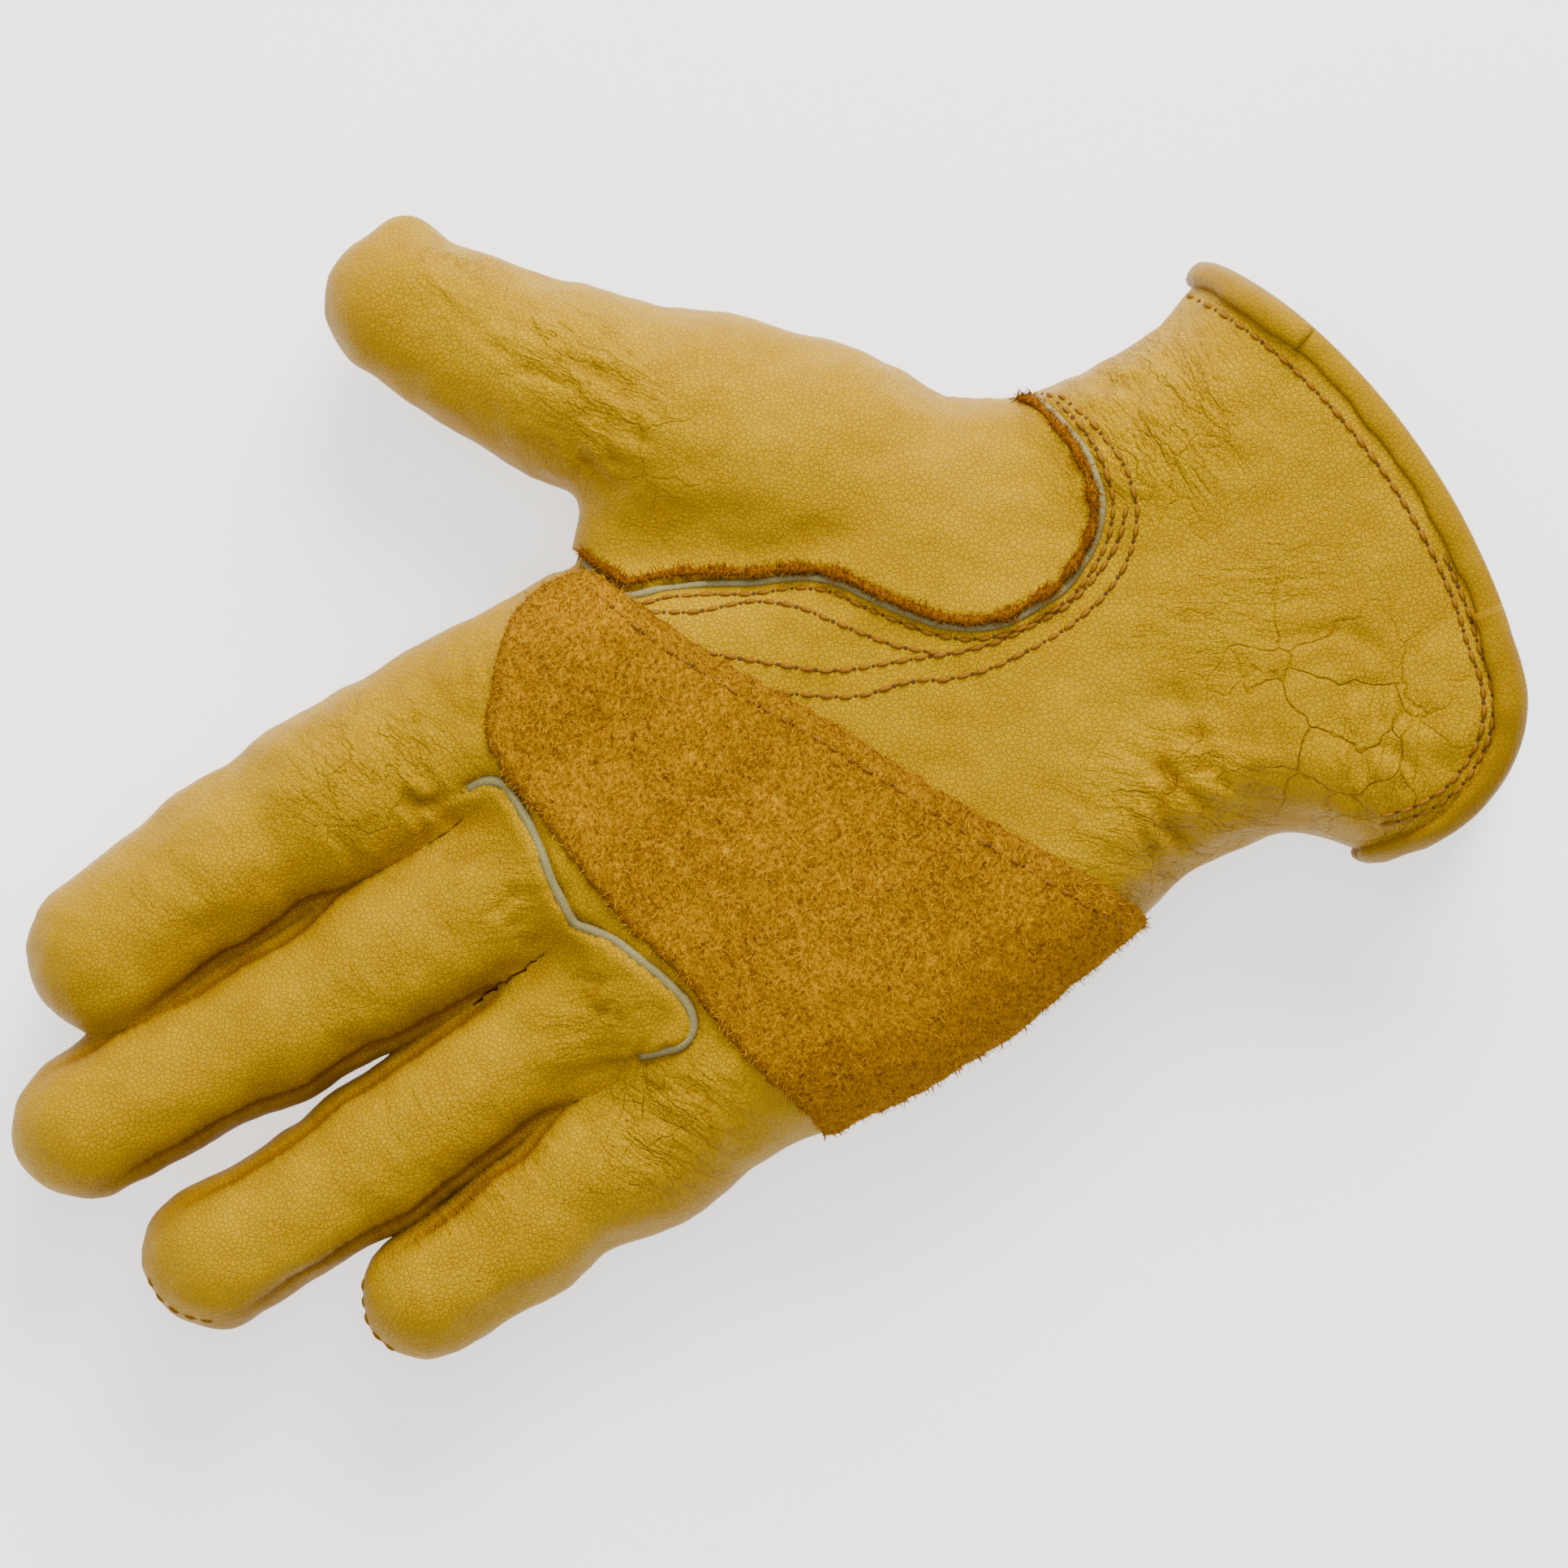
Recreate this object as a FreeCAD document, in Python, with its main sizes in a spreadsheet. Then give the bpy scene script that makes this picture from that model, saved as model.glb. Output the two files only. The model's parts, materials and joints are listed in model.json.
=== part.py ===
"""A leather work glove for the right hand, lying on its back with the palm up.

Frame: +Y from the wrist to the fingertips, +X to the thumb, +Z out of the palm, millimetres. The origin is under the
middle of the glove, on the plane it rests on. Every panel is a shell one leather thickness deep. A digit bends at two
hinges. At a hinge the outer segment ends in a ball-shaped fold of leather that turns inside the segment before it,
and the leather of both is cut back from the hinge by the fold angles.
"""
import FreeCAD, Part
import math
import os

import Sketcher
from FreeCAD import Placement, Rotation, Vector

# ---------------------------------------------------------------- driving dimensions, in millimetres and degrees
SIZES = {
    # leather and clearances
    "leather": 1.1,
    "running_gap": 0.3,
    "seam_height": 17.0,  # where the palm panel meets the back panel
    "strip_half": 5.0,  # half the width of the strips sewn between the fingers
    # the hand's sections, from the cuff to the knuckles: level, edge on each side, underside, top
    "mouth_level": -128.0,
    "mouth_little": -88.0,
    "mouth_thumb": 15.0,
    "mouth_low": 2.0,
    "mouth_top": 44.0,
    "cuff_level": -98.0,
    "cuff_little": -88.0,
    "cuff_thumb": 9.5,
    "cuff_low": 2.0,
    "cuff_top": 42.0,
    "wrist_level": -74.0,
    "wrist_little": -69.5,
    "wrist_thumb": 9.0,
    "wrist_low": 1.6,
    "wrist_top": 38.0,
    "heel_level": -48.0,
    "heel_little": -71.0,
    "heel_thumb": 11.0,
    "heel_low": -0.25,
    "heel_top": 37.0,
    "palm_level": -16.0,
    "palm_little": -76.5,
    "palm_thumb": 14.0,
    "palm_low": -0.25,
    "palm_top": 36.0,
    "crotch_level": 4.0,
    "crotch_little": -76.0,
    "crotch_thumb": 23.0,
    "crotch_low": -0.25,
    "crotch_top": 35.0,
    "section_round": 13.7,
    # the cuff's hem: a wide arc, and a round lobe on the little finger's side
    "hem_x": -38.0,
    "hem_y": -13.3,
    "hem_radius": 109.0,
    "lobe_x": -60.0,
    "lobe_y": -97.0,
    "lobe_radius": 22.6,
    "lobe_end": -80.0,
    "binding_wall": 1.2,
    "binding_width": 4.6,
    "binding_joint_little": -56.0,
    "binding_joint_thumb": -4.5,
    # hinges of the fingers
    "knuckle": 37.0,
    "little_knuckle": 34.0,
    "digit_height": 15.0,
    "knuckle_fold": 32.0,  # cut back on the palm side, each side of the hinge
    "middle_fold": 37.0,
    "back_fold": 6.0,  # cut back on the back side
    "ball_mouth": 30.0,  # half angle of the way through a ball-shaped fold
    "ball_turn": 15.0,  # turn of that way towards the palm
    "ball_step": 0.15,  # how far the ball lies inside its tube
    # each digit: outer radii at its two hinges and its tip, lengths of its two segments
    "finger_gap": 0.4,  # between the roots of neighbouring fingers
    "index_root": 12.6,
    "index_mid": 12.4,
    "index_tip": 10.6,
    "index_lower": 36.0,
    "index_upper": 24.3,
    "middle_x": -16.1,
    "middle_root": 12.0,
    "middle_mid": 12.0,
    "middle_tip": 10.2,
    "middle_lower": 42.0,
    "middle_upper": 34.6,
    "ring_root": 11.3,
    "ring_mid": 11.3,
    "ring_tip": 9.7,
    "ring_lower": 38.0,
    "ring_upper": 31.2,
    "little_root": 10.1,
    "little_mid": 10.1,
    "little_tip": 8.6,
    "little_lower": 26.0,
    "little_upper": 20.2,
    "thumb_x": 30.0,
    "thumb_y": -28.0,
    "thumb_height": 18.0,
    "thumb_yaw": -53.3,
    "thumb_fold": 22.0,
    "thumb_run": 30.0,  # how far the thumb's sleeve runs back into the palm
    "thumb_root": 16.4,
    "thumb_mid": 13.8,
    "thumb_tip": 11.4,
    "thumb_lower": 34.0,
    "thumb_upper": 18.6,
    # pieces on the palm
    "patch_leather": 1.2,
    "welt_width": 1.4,
    "welt_height": 0.9,
    # elastic inside the back of the wrist
    "elastic_length": 44.0,
    "elastic_width": 8.0,
    "elastic_depth": 1.0,
    "elastic_x": -29.0,
    "elastic_y": -62.0,
    # sewing thread
    "stitch_length": 2.1,
    "stitch_pitch": 3.0,
    "stitch_width": 0.6,
    "stitch_height": 0.4,
    "row_gap": 1.8,
}
# places that follow from the sizes above: the fingers lie side by side
FOLLOWING = {
    "index_x": "middle_x + middle_root + index_root + finger_gap",
    "ring_x": "middle_x - middle_root - ring_root - finger_gap",
    "little_x": "ring_x - ring_root - little_root - finger_gap",
}
REACH = 300.0  # longer than the glove: the extent of solids that only cut others
SECTIONS = ("mouth", "cuff", "wrist", "heel", "palm", "crotch", "knuckle")

doc = FreeCAD.newDocument("work_glove")
sheet = doc.addObject("Spreadsheet::Sheet", "sizes")
for row, (alias, value) in enumerate(SIZES.items(), start=1):
    sheet.set(f"A{row}", alias)
    sheet.set(f"B{row}", str(value))
    sheet.setAlias(f"B{row}", alias)
doc.recompute()


def full(expression):
    """An expression of sizes, with every size named by its sheet."""
    words, word = [], ""
    for letter in expression + " ":
        if letter.isalnum() or letter == "_":
            word += letter
            continue
        if word in FOLLOWING:
            word = f"({full(FOLLOWING[word])})"
        words.append(f"sizes.{word}" if word in SIZES else word)
        words.append(letter)
        word = ""
    return "".join(words).strip()


def value(expression):
    """The number an expression of sizes gives now."""
    return float(FreeCAD.Units.Quantity(sheet.evalExpression(full(expression))).Value)


def bound(kind, name, at=(0, 0, 0), axis=(0, 0, 1), angle="0", **properties):
    """A new object whose properties and place are expressions of the sizes."""
    thing = doc.addObject(kind, name)
    thing.Placement = Placement(Vector(), Rotation(Vector(*axis), 1.0))
    for key, expression in properties.items():
        thing.setExpression(key, full(str(expression)))
    for letter, expression in zip("xyz", at):
        thing.setExpression(f"Placement.Base.{letter}", full(str(expression)))
    thing.setExpression("Placement.Rotation.Angle", full(str(angle)))
    return thing


def box(name, low, extent, axis=(1, 0, 0), angle="0", about=(0, 0, 0)):
    """A box from one corner; a turned box keeps its corner at `low` from the point it turns about."""
    block = doc.addObject("Part::Box", name)
    for key, expression in zip(("Length", "Width", "Height"), extent):
        block.setExpression(key, full(str(expression)))
    for letter, expression in zip("xyz", low):
        block.setExpression(f"Placement.Base.{letter}", full(str(expression)))
    if str(angle) == "0" and all(str(part) == "0" for part in about):
        return block
    turned = bound("Part::Compound", name + "_turned", about, axis, angle)
    turned.Links = [block]
    return turned


def cut(name, base, tool):
    result = doc.addObject("Part::Cut", name)
    result.Base, result.Tool = base, tool
    return result


def fuse(name, *shapes):
    result = doc.addObject("Part::MultiFuse", name)
    result.Shapes = list(shapes)
    result.Refine = False
    return result


def common(name, *shapes):
    result = doc.addObject("Part::MultiCommon", name)
    result.Shapes = list(shapes)
    return result


pieces = {}


def keep(node, shape):
    """Name a finished piece."""
    shape.Label = node
    pieces[node] = shape
    return shape


# ---------------------------------------------------------------- the hand's form, drawn in from its outside
def edges(station, inset):
    """Level, little edge, thumb edge, underside and top of one section, as expressions."""
    if station == "knuckle":
        row = ["knuckle", "little_x - little_root - running_gap - leather",
               "index_x + index_root + running_gap + leather", "0",
               "digit_height + index_root + running_gap + leather"]
    else:
        row = [f"{station}_{part}" for part in ("level", "little", "thumb", "low", "top")]
    row[1] += f" + ({inset})"
    row[2] += f" - ({inset})"
    row[3] += f" + ({inset})"
    row[4] += f" - ({inset})"
    return row


def section(body, name, station, inset):
    """A rounded rectangle across the hand, held by constraints bound to the sizes."""
    level, little, thumb, low, top = edges(station, inset)
    sketch = body.newObject("Sketcher::SketchObject", name)
    sketch.AttachmentSupport = [(plane(body, "XZ"), "")]
    sketch.MapMode = "FlatFace"
    sketch.setExpression("AttachmentOffset.Base.z", full(f"-({level})"))
    left, right, floor, roof = value(little), value(thumb), value(low), value(top)
    radius = value(f"section_round - ({inset})")
    a, b, c, d = left + radius, right - radius, floor + radius, roof - radius
    lines = [((a, floor), (b, floor)), ((right, c), (right, d)), ((b, roof), (a, roof)), ((left, d), (left, c))]
    for start, end in lines:
        sketch.addGeometry(Part.LineSegment(Vector(*start, 0), Vector(*end, 0)))
    for centre, first in (((b, c), -90), ((b, d), 0), ((a, d), 90), ((a, c), 180)):
        circle = Part.Circle(Vector(*centre, 0), Vector(0, 0, 1), radius)
        sketch.addGeometry(Part.ArcOfCircle(circle, math.radians(first), math.radians(first + 90)))
    for side in range(4):
        sketch.addConstraint(Sketcher.Constraint("Tangent", side, 2, 4 + side, 1))
        sketch.addConstraint(Sketcher.Constraint("Tangent", 4 + side, 2, (side + 1) % 4, 1))
    for arc in (5, 6, 7):
        sketch.addConstraint(Sketcher.Constraint("Equal", 4, arc))
    sketch.addConstraint(Sketcher.Constraint("Horizontal", 0))
    held = [("Radius", (4,), radius, f"section_round - ({inset})"),
            ("DistanceX", (-1, 1, 3, 1), left, little), ("DistanceX", (-1, 1, 1, 1), right, thumb),
            ("DistanceY", (-1, 1, 0, 1), floor, low), ("DistanceY", (-1, 1, 2, 1), roof, top)]
    for kind, where, number, expression in held:
        index = sketch.addConstraint(Sketcher.Constraint(kind, *where, number))
        sketch.setExpression(f"Constraints[{index}]", full(expression))
    return sketch


def plane(body, name):
    """One of a body's own origin planes."""
    return next(part for part in body.Origin.OriginFeatures if part.Role == f"{name}_Plane")


def hand_form(name, inset):
    """The hand from the cuff to the knuckles as one solid, drawn in by `inset`."""
    body = doc.addObject("PartDesign::Body", name)
    sketches = [section(body, f"{name}_{station}", station, inset) for station in SECTIONS]
    loft = body.newObject("PartDesign::AdditiveLoft", name + "_loft")
    loft.Profile = sketches[0]
    loft.Sections = sketches[1:]
    loft.Ruled = True
    body.Tip = loft
    return body


def thumb_sleeve(name, inset):
    """The thumb's sleeve behind its first hinge, drawn in by `inset`."""
    radius = f"thumb_root + running_gap + leather - ({inset})"
    tube = bound("Part::Cylinder", name + "_tube", (0, "-thumb_run", 0), (1, 0, 0), "-90",
                 Radius=radius, Height="thumb_run")
    heel = bound("Part::Sphere", name + "_heel", (0, "-thumb_run", 0), Radius=radius)
    sleeve = doc.addObject("Part::Compound", name)
    both = fuse(name + "_whole", tube, heel)
    sleeve.Links = [both]
    at_thumb(sleeve)
    return sleeve


def at_thumb(thing):
    thing.Placement = Placement(Vector(), Rotation(Vector(0, 0, 1), 1.0))
    for letter, alias in zip("xyz", ("thumb_x", "thumb_y", "thumb_height")):
        thing.setExpression(f"Placement.Base.{letter}", full(alias))
    thing.setExpression("Placement.Rotation.Angle", full("thumb_yaw"))


def at_finger(thing, finger):
    knuckle = "little_knuckle" if finger == "little" else "knuckle"
    for letter, alias in zip("xyz", (f"{finger}_x", knuckle, "digit_height")):
        thing.setExpression(f"Placement.Base.{letter}", full(alias))


def hem_form(name, inset):
    """Everything inside the cuff's hem, drawn in by `inset`."""
    wide = bound("Part::Cylinder", name + "_wide", ("hem_x", "hem_y", -REACH / 2),
                 Radius=f"hem_radius - ({inset})", Height=REACH)
    lobe = bound("Part::Cylinder", name + "_lobe", ("lobe_x", "lobe_y", -REACH / 2),
                 Radius=f"lobe_radius - ({inset})", Height=REACH)
    rest = box(name + "_rest", ("lobe_x", -REACH, -REACH / 2), (REACH, 2 * REACH, REACH))
    above = box(name + "_above", (-REACH, f"lobe_end + ({inset})", -REACH / 2), (2 * REACH, REACH, REACH))
    return fuse(name, above, common(name + "_low", wide, fuse(name + "_reach", lobe, rest)))


# the mouths of the sleeves: what the first folds of the digits need, cut through each hinge's line
def mouth_cutters(name, half_width, fold, at):
    width = f"2 * ({half_width})"
    front = box(name + "_front", (f"-({half_width})", 0, 0), (width, REACH, REACH), (1, 0, 0), fold)
    back = box(name + "_back", (f"-({half_width})", 0, -REACH), (width, REACH, REACH), (1, 0, 0), "-back_fold")
    ahead = box(name + "_ahead", (f"-({half_width})", 0, -REACH), (width, REACH, 2 * REACH))
    whole = fuse(name, front, back, ahead)
    at(whole)
    return whole


outside = hand_form("hand_outside", "0")
inside = hand_form("hand_inside", "leather")
outer = fuse("hand_outer", outside, thumb_sleeve("sleeve_outside", "0"))
inner = fuse("hand_inner", inside, thumb_sleeve("sleeve_inside", "leather"))
hem = hem_form("hem", "0")

def at_knuckles(thing):
    for letter, expression in zip("yz", ("knuckle", "digit_height")):
        thing.setExpression(f"Placement.Base.{letter}", full(expression))


def at_little_knuckle(thing):
    thing.setExpression("Placement.Base.x", full("(ring_x + little_x - ring_root + little_root) / 2 - 50"))
    thing.setExpression("Placement.Base.y", full("little_knuckle"))
    thing.setExpression("Placement.Base.z", full("digit_height"))


sleeves = [mouth_cutters("finger_mouth", REACH, "knuckle_fold", at_knuckles),
           mouth_cutters("little_mouth", "50", "knuckle_fold", at_little_knuckle),
           mouth_cutters("thumb_mouth", "thumb_root + running_gap + leather", "thumb_fold", at_thumb)]
beyond = box("beyond_knuckles", (-REACH, "knuckle", -REACH / 2), (2 * REACH, REACH, REACH))
mouths = fuse("mouths", *sleeves)
upper_half = box("upper_half", (-REACH, -REACH, "seam_height"), (2 * REACH, 2 * REACH, REACH))
lower_half = box("lower_half", (-REACH, -REACH, f"seam_height - {REACH}"), (2 * REACH, 2 * REACH, REACH))

# the back is pressed flat where the glove lies on it
table = box("above_table", (-REACH, -REACH, 0), (2 * REACH, 2 * REACH, REACH))
leather_hand = cut("leather_hand", common("hand_in_hem", cut("hand_mouthed", outer, mouths), hem, table), inner)
keep("palm_panel", common("palm_panel_cut", leather_hand, upper_half))
keep("back_panel", common("back_panel_cut", leather_hand, lower_half))

# ---------------------------------------------------------------- the cuff's binding, folded over the hem
bound_outside = hand_form("binding_outside", "-binding_wall")
bound_inside = hand_form("binding_inside", "leather + binding_wall")
band = cut("binding_band", hem_form("hem_wide", "-binding_wall"), hem_form("hem_narrow", "binding_width"))
channel = cut("binding_channel", cut("binding_shell", common("binding_whole", bound_outside, band), bound_inside),
              leather_hand)


def between(name, low, high, half):
    """What of the world lies between two levels of X in one half."""
    slab = box(name, (low, -REACH, -REACH / 2), (f"({high}) - ({low})", 2 * REACH, REACH))
    return common(name + "_half", slab, half)


joints = ("-300", "binding_joint_little", "binding_joint_thumb", "300")
for part, low, high in zip(("little", "middle", "thumb"), joints, joints[1:]):
    keep(f"cuff_binding_{part}", common(f"binding_{part}", channel, between(f"slab_{part}", low, high, upper_half)))
keep("cuff_binding_back", common("binding_back", channel, lower_half))

# ---------------------------------------------------------------- digits
def fold_side(name, length, fold, side):
    """What the fold takes from a tube on one side of a hinge: `side` 1 beyond the hinge, -1 before it."""
    reach = REACH / 3
    low = (f"-{reach / 2}", "0" if side < 0 else f"-{reach}", "0")
    turn = fold if side < 0 else f"-({fold})"
    front = box(name + "_front", low, (reach, reach, reach), (1, 0, 0), turn, (0, length, 0))
    low = (low[0], low[1], f"-{reach}")
    turn = "-back_fold" if side < 0 else "back_fold"
    back = box(name + "_back", low, (reach, reach, reach), (1, 0, 0), turn, (0, length, 0))
    return fuse(name, front, back)


def tube(name, start, length, first, last):
    """A tapered round solid along +Y."""
    return bound("Part::Cone", name, (0, start, 0), (1, 0, 0), "-90", Radius1=first, Radius2=last, Height=length)


def segment(digit, part, root, end, length, fold, tip):
    """Outer and inner solid of one segment, its first hinge at the origin and its length along +Y."""
    solids = []
    for side, inset in (("outer", "0"), ("inner", "leather")):
        name = f"{digit}_{part}_{side}"
        first, last = f"({root}) - {inset}", f"({end}) - {inset}"
        body = tube(name + "_tube", 0, length, first, last)
        if side == "outer":
            body = cut(name + "_folded", body, fold_side(name + "_fold", 0, fold, 1))
            if not tip:
                body = cut(name + "_open", body, fold_side(name + "_mouth", length, "middle_fold", -1))
        ball = bound("Part::Sphere", name + "_ball", Radius=f"{first} - ball_step")
        shapes = [body, ball]
        if tip:
            shapes.append(bound("Part::Sphere", name + "_tip", (0, length, 0), Radius=last))
        elif side == "inner":
            shapes.append(bound("Part::Cylinder", name + "_way", (0, length, 0), (1, 0, 0), "-90",
                                Radius=last, Height=REACH))
        if side == "inner":
            way = bound("Part::Cone", name + "_way_in", (0, 0, 0), (1, 0, 0), "90 - ball_turn",
                        Radius1="0.001", Radius2=f"{REACH} * tan(ball_mouth)", Height=REACH)
            shapes.append(way)
        solids.append(fuse(name, *shapes))
    return cut(f"{digit}_{part}_shell", *solids)


def panels(digit, part, shell, along, tip):
    """Cut a segment's shell into its front, its back and the strips sewn between them."""
    extent = REACH / 2
    wide = (2 * extent, 2 * extent, extent)
    front = box(f"{digit}_{part}_over", (-extent, -extent, "strip_half"), wide)
    back = box(f"{digit}_{part}_under", (-extent, -extent, f"-strip_half - {extent}"), wide)
    cuts = {"front": front, "back": back}
    strip = (2 * extent, 2 * extent, "2 * strip_half")
    if tip:
        cuts["strip"] = box(f"{digit}_{part}_mid", (-extent, -extent, "-strip_half"), strip)
    else:
        strip = (extent, 2 * extent, "2 * strip_half")
        cuts["inner_strip"] = box(f"{digit}_{part}_mid_a", (0, -extent, "-strip_half"), strip)
        cuts["outer_strip"] = box(f"{digit}_{part}_mid_b", (-extent, -extent, "-strip_half"), strip)
    for panel, block in cuts.items():
        piece = common(f"{digit}_{part}_{panel}_cut", shell, block)
        if digit == "thumb":
            at_thumb(piece)
            for axis, share in (("x", "-sin(thumb_yaw)"), ("y", "cos(thumb_yaw)")):
                place = f"thumb_{axis} + ({along}) * {share}"
                piece.setExpression(f"Placement.Base.{axis}", full(place))
        else:
            at_finger(piece, digit)
            base = "little_knuckle" if digit == "little" else "knuckle"
            piece.setExpression("Placement.Base.y", full(f"{base} + {along}"))
        keep(f"{digit}_{part}_{panel}", piece)


for digit in ("index", "middle", "ring", "little", "thumb"):
    fold = "thumb_fold" if digit == "thumb" else "knuckle_fold"
    lower = segment(digit, "lower", f"{digit}_root", f"{digit}_mid", f"{digit}_lower", fold, False)
    panels(digit, "lower", lower, "0", False)
    nested = f"{digit}_mid - leather - running_gap"
    upper = segment(digit, "upper", nested, f"{digit}_tip", f"{digit}_upper", "middle_fold", True)
    panels(digit, "upper", upper, f"{digit}_lower", True)


# ---------------------------------------------------------------- pieces sewn onto the palm
def stencil(name, outlines):
    """A tall solid over closed outlines seen from the palm, to be cut to a layer of the palm."""
    body = doc.addObject("PartDesign::Body", name)
    body.AllowCompound = True
    sketch = body.newObject("Sketcher::SketchObject", name + "_sketch")
    sketch.AttachmentSupport = [(plane(body, "XY"), "")]
    sketch.MapMode = "FlatFace"
    for outline in outlines:
        corners = [Vector(x, y, 0) for x, y in outline]
        for start, end in zip(corners, corners[1:] + corners[:1]):
            sketch.addGeometry(Part.LineSegment(start, end))
    pad = body.newObject("PartDesign::Pad", name + "_pad")
    pad.Profile = sketch
    pad.setExpression("Length", full("mouth_top + 2 * binding_wall"))
    body.Tip = pad
    return body


def skin(name, inset):
    """The outside of the hand and the thumb's sleeve, drawn in by `inset`."""
    return fuse(name, hand_form(name + "_hand", inset), thumb_sleeve(name + "_sleeve", inset))


def layer(name, under, over):
    """What lies over one skin and under another on the palm, short of the digits."""
    return common(name, cut(name + "_between", over, fuse(name + "_off", under, mouths)), upper_half)


def spread(anchor, points):
    """Points given from a place on the hand."""
    x, y = (value(expression) for expression in anchor)
    return [(x + dx, y + dy) for dx, dy in points]


def normals(path):
    """The direction of a path at each of its points, a quarter turn to its left."""
    result = []
    for i in range(len(path)):
        (x0, y0), (x1, y1) = path[max(i - 1, 0)], path[min(i + 1, len(path) - 1)]
        length = math.hypot(x1 - x0, y1 - y0)
        result.append((-(y1 - y0) / length, (x1 - x0) / length))
    return result


def beside(path, distance):
    """A path drawn a distance to the left of another."""
    return [(x + nx * distance, y + ny * distance) for (x, y), (nx, ny) in zip(path, normals(path))]


def band_outline(path, width):
    return beside(path, width / 2) + beside(path, -width / 2)[::-1]


def dashes(path):
    """Outlines of the stitches along a path, evenly spaced."""
    pitch, length, width = value("stitch_pitch"), value("stitch_length"), value("stitch_width")
    outlines, run = [], pitch / 2
    for (x0, y0), (x1, y1) in zip(path, path[1:]):
        reach = math.hypot(x1 - x0, y1 - y0)
        ux, uy = (x1 - x0) / reach, (y1 - y0) / reach
        while run < reach:
            x, y = x0 + ux * run, y0 + uy * run
            a, b = length / 2, width / 2
            outlines.append([(x + ux * i - uy * j, y + uy * i + ux * j) for i, j in
                             ((-a, -b), (a, -b), (a, b), (-a, b))])
            run += pitch
        run -= reach
    return outlines


def arc(centre, radius, first, last, steps):
    """Points of an arc, the angles in degrees."""
    x, y = centre
    turns = [math.radians(first + (last - first) * i / steps) for i in range(steps + 1)]
    return [(x + radius * math.cos(a), y + radius * math.sin(a)) for a in turns]


# where the leather under the thumb is let into the palm, from the crotch round the ball of the thumb to the wrist
THUMB_SEAM = spread(("thumb_x", "thumb_y"), [
    (-17.6, 17.4), (-20.2, 11.4), (-23.6, 5.4), (-26.3, -0.6), (-30.3, -6.0), (-35.0, -9.3), (-39.6, -12.7),
    (-44.3, -16.7), (-47.7, -21.4), (-49.4, -27.4), (-49.4, -34.0), (-47.4, -40.0), (-43.7, -45.2), (-39.0, -47.9),
    (-32.3, -49.0), (-25.6, -47.9)])
# the suede patch: its edge towards the wrist, then its edge towards the fingers
PATCH_LOWER = spread(("middle_x", "knuckle"), [
    (-64.0, -91.5), (-53.8, -86.4), (-24.9, -70.3), (-3.6, -59.0), (11.0, -50.4), (22.0, -44.6), (32.5, -40.2)])
PATCH_UPPER = spread(("middle_x", "knuckle"), [
    (38.5, -36.0), (38.6, -25.0), (33.9, -20.5), (27.2, -15.8), (23.9, -13.6), (15.2, -12.6), (7.1, -13.6),
    (-3.6, -14.4), (-14.3, -15.9), (-24.9, -18.4), (-34.4, -20.4), (-43.7, -22.0), (-51.8, -24.2), (-64.0, -26.0)])
# the piping round the roots of the middle and ring fingers
FINGER_SEAM = spread(("middle_x", "knuckle"), [
    (13.6, -10.6), (7.1, -11.2), (-3.9, -11.2), (-9.9, -11.6), (-15.0, -13.6), (-20.9, -15.6), (-27.9, -17.6),
    (-33.4, -17.8), (-35.6, -15.6)])

patched = skin("patched_skin", "-patch_leather")
raised = skin("raised_skin", "-welt_height")
sewn = skin("sewn_skin", "-stitch_height")
sewn_patch = skin("sewn_patch_skin", "-patch_leather - stitch_height")

patch_layer = layer("patch_layer", outer, patched)
welt_layer = layer("welt_layer", outer, raised)
stitch_layer = layer("stitch_layer", outer, sewn)
patch_stitch_layer = layer("patch_stitch_layer", patched, sewn_patch)

keep("palm_patch", common("palm_patch_cut", patch_layer, stencil("patch_outline", [PATCH_LOWER + PATCH_UPPER])))
welt = value("welt_width")
keep("thumb_welt", common("thumb_welt_cut", welt_layer, stencil("thumb_band", [band_outline(THUMB_SEAM, welt)])))
keep("finger_welt", common("finger_welt_cut", welt_layer, stencil("finger_band", [band_outline(FINGER_SEAM, welt)])))

row = value("row_gap")
thumb_rows = [beside(THUMB_SEAM[3:], -1.4 * row), beside(THUMB_SEAM[3:], -2.8 * row)]
keep("thumb_stitching", common("thumb_stitching_cut", stitch_layer,
                               stencil("thumb_rows", [dash for path in thumb_rows for dash in dashes(path)])))
patch_row = beside(PATCH_LOWER[1:-1], 2 * row)
keep("patch_stitching", common("patch_stitching_cut", patch_stitch_layer, stencil("patch_rows", dashes(patch_row))))
hem_centre = (value("hem_x"), value("hem_y"))
lobe_centre = (value("lobe_x"), value("lobe_y"))
cuff_rows = []
for inset in (value("binding_width") + row, value("binding_width") + 2 * row):
    lobe = arc(lobe_centre, value("lobe_radius") - inset, 150, 255, 24)
    wide = arc(hem_centre, value("hem_radius") - inset, 259.5, 292, 32)
    cuff_rows += [lobe, wide]
keep("cuff_stitching", common("cuff_stitching_cut", stitch_layer,
                              stencil("cuff_rows", [dash for path in cuff_rows for dash in dashes(path)])))

# ---------------------------------------------------------------- elastic sewn inside the back of the wrist
elastic_layer = cut("elastic_layer", inside, hand_form("elastic_inside", "leather + elastic_depth"))
elastic_box = box("elastic_box", ("elastic_x - elastic_length / 2", "elastic_y - elastic_width / 2", 0),
                  ("elastic_length", "elastic_width", "seam_height / 2"))
keep("wrist_elastic", common("wrist_elastic_cut", elastic_layer, elastic_box))

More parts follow.
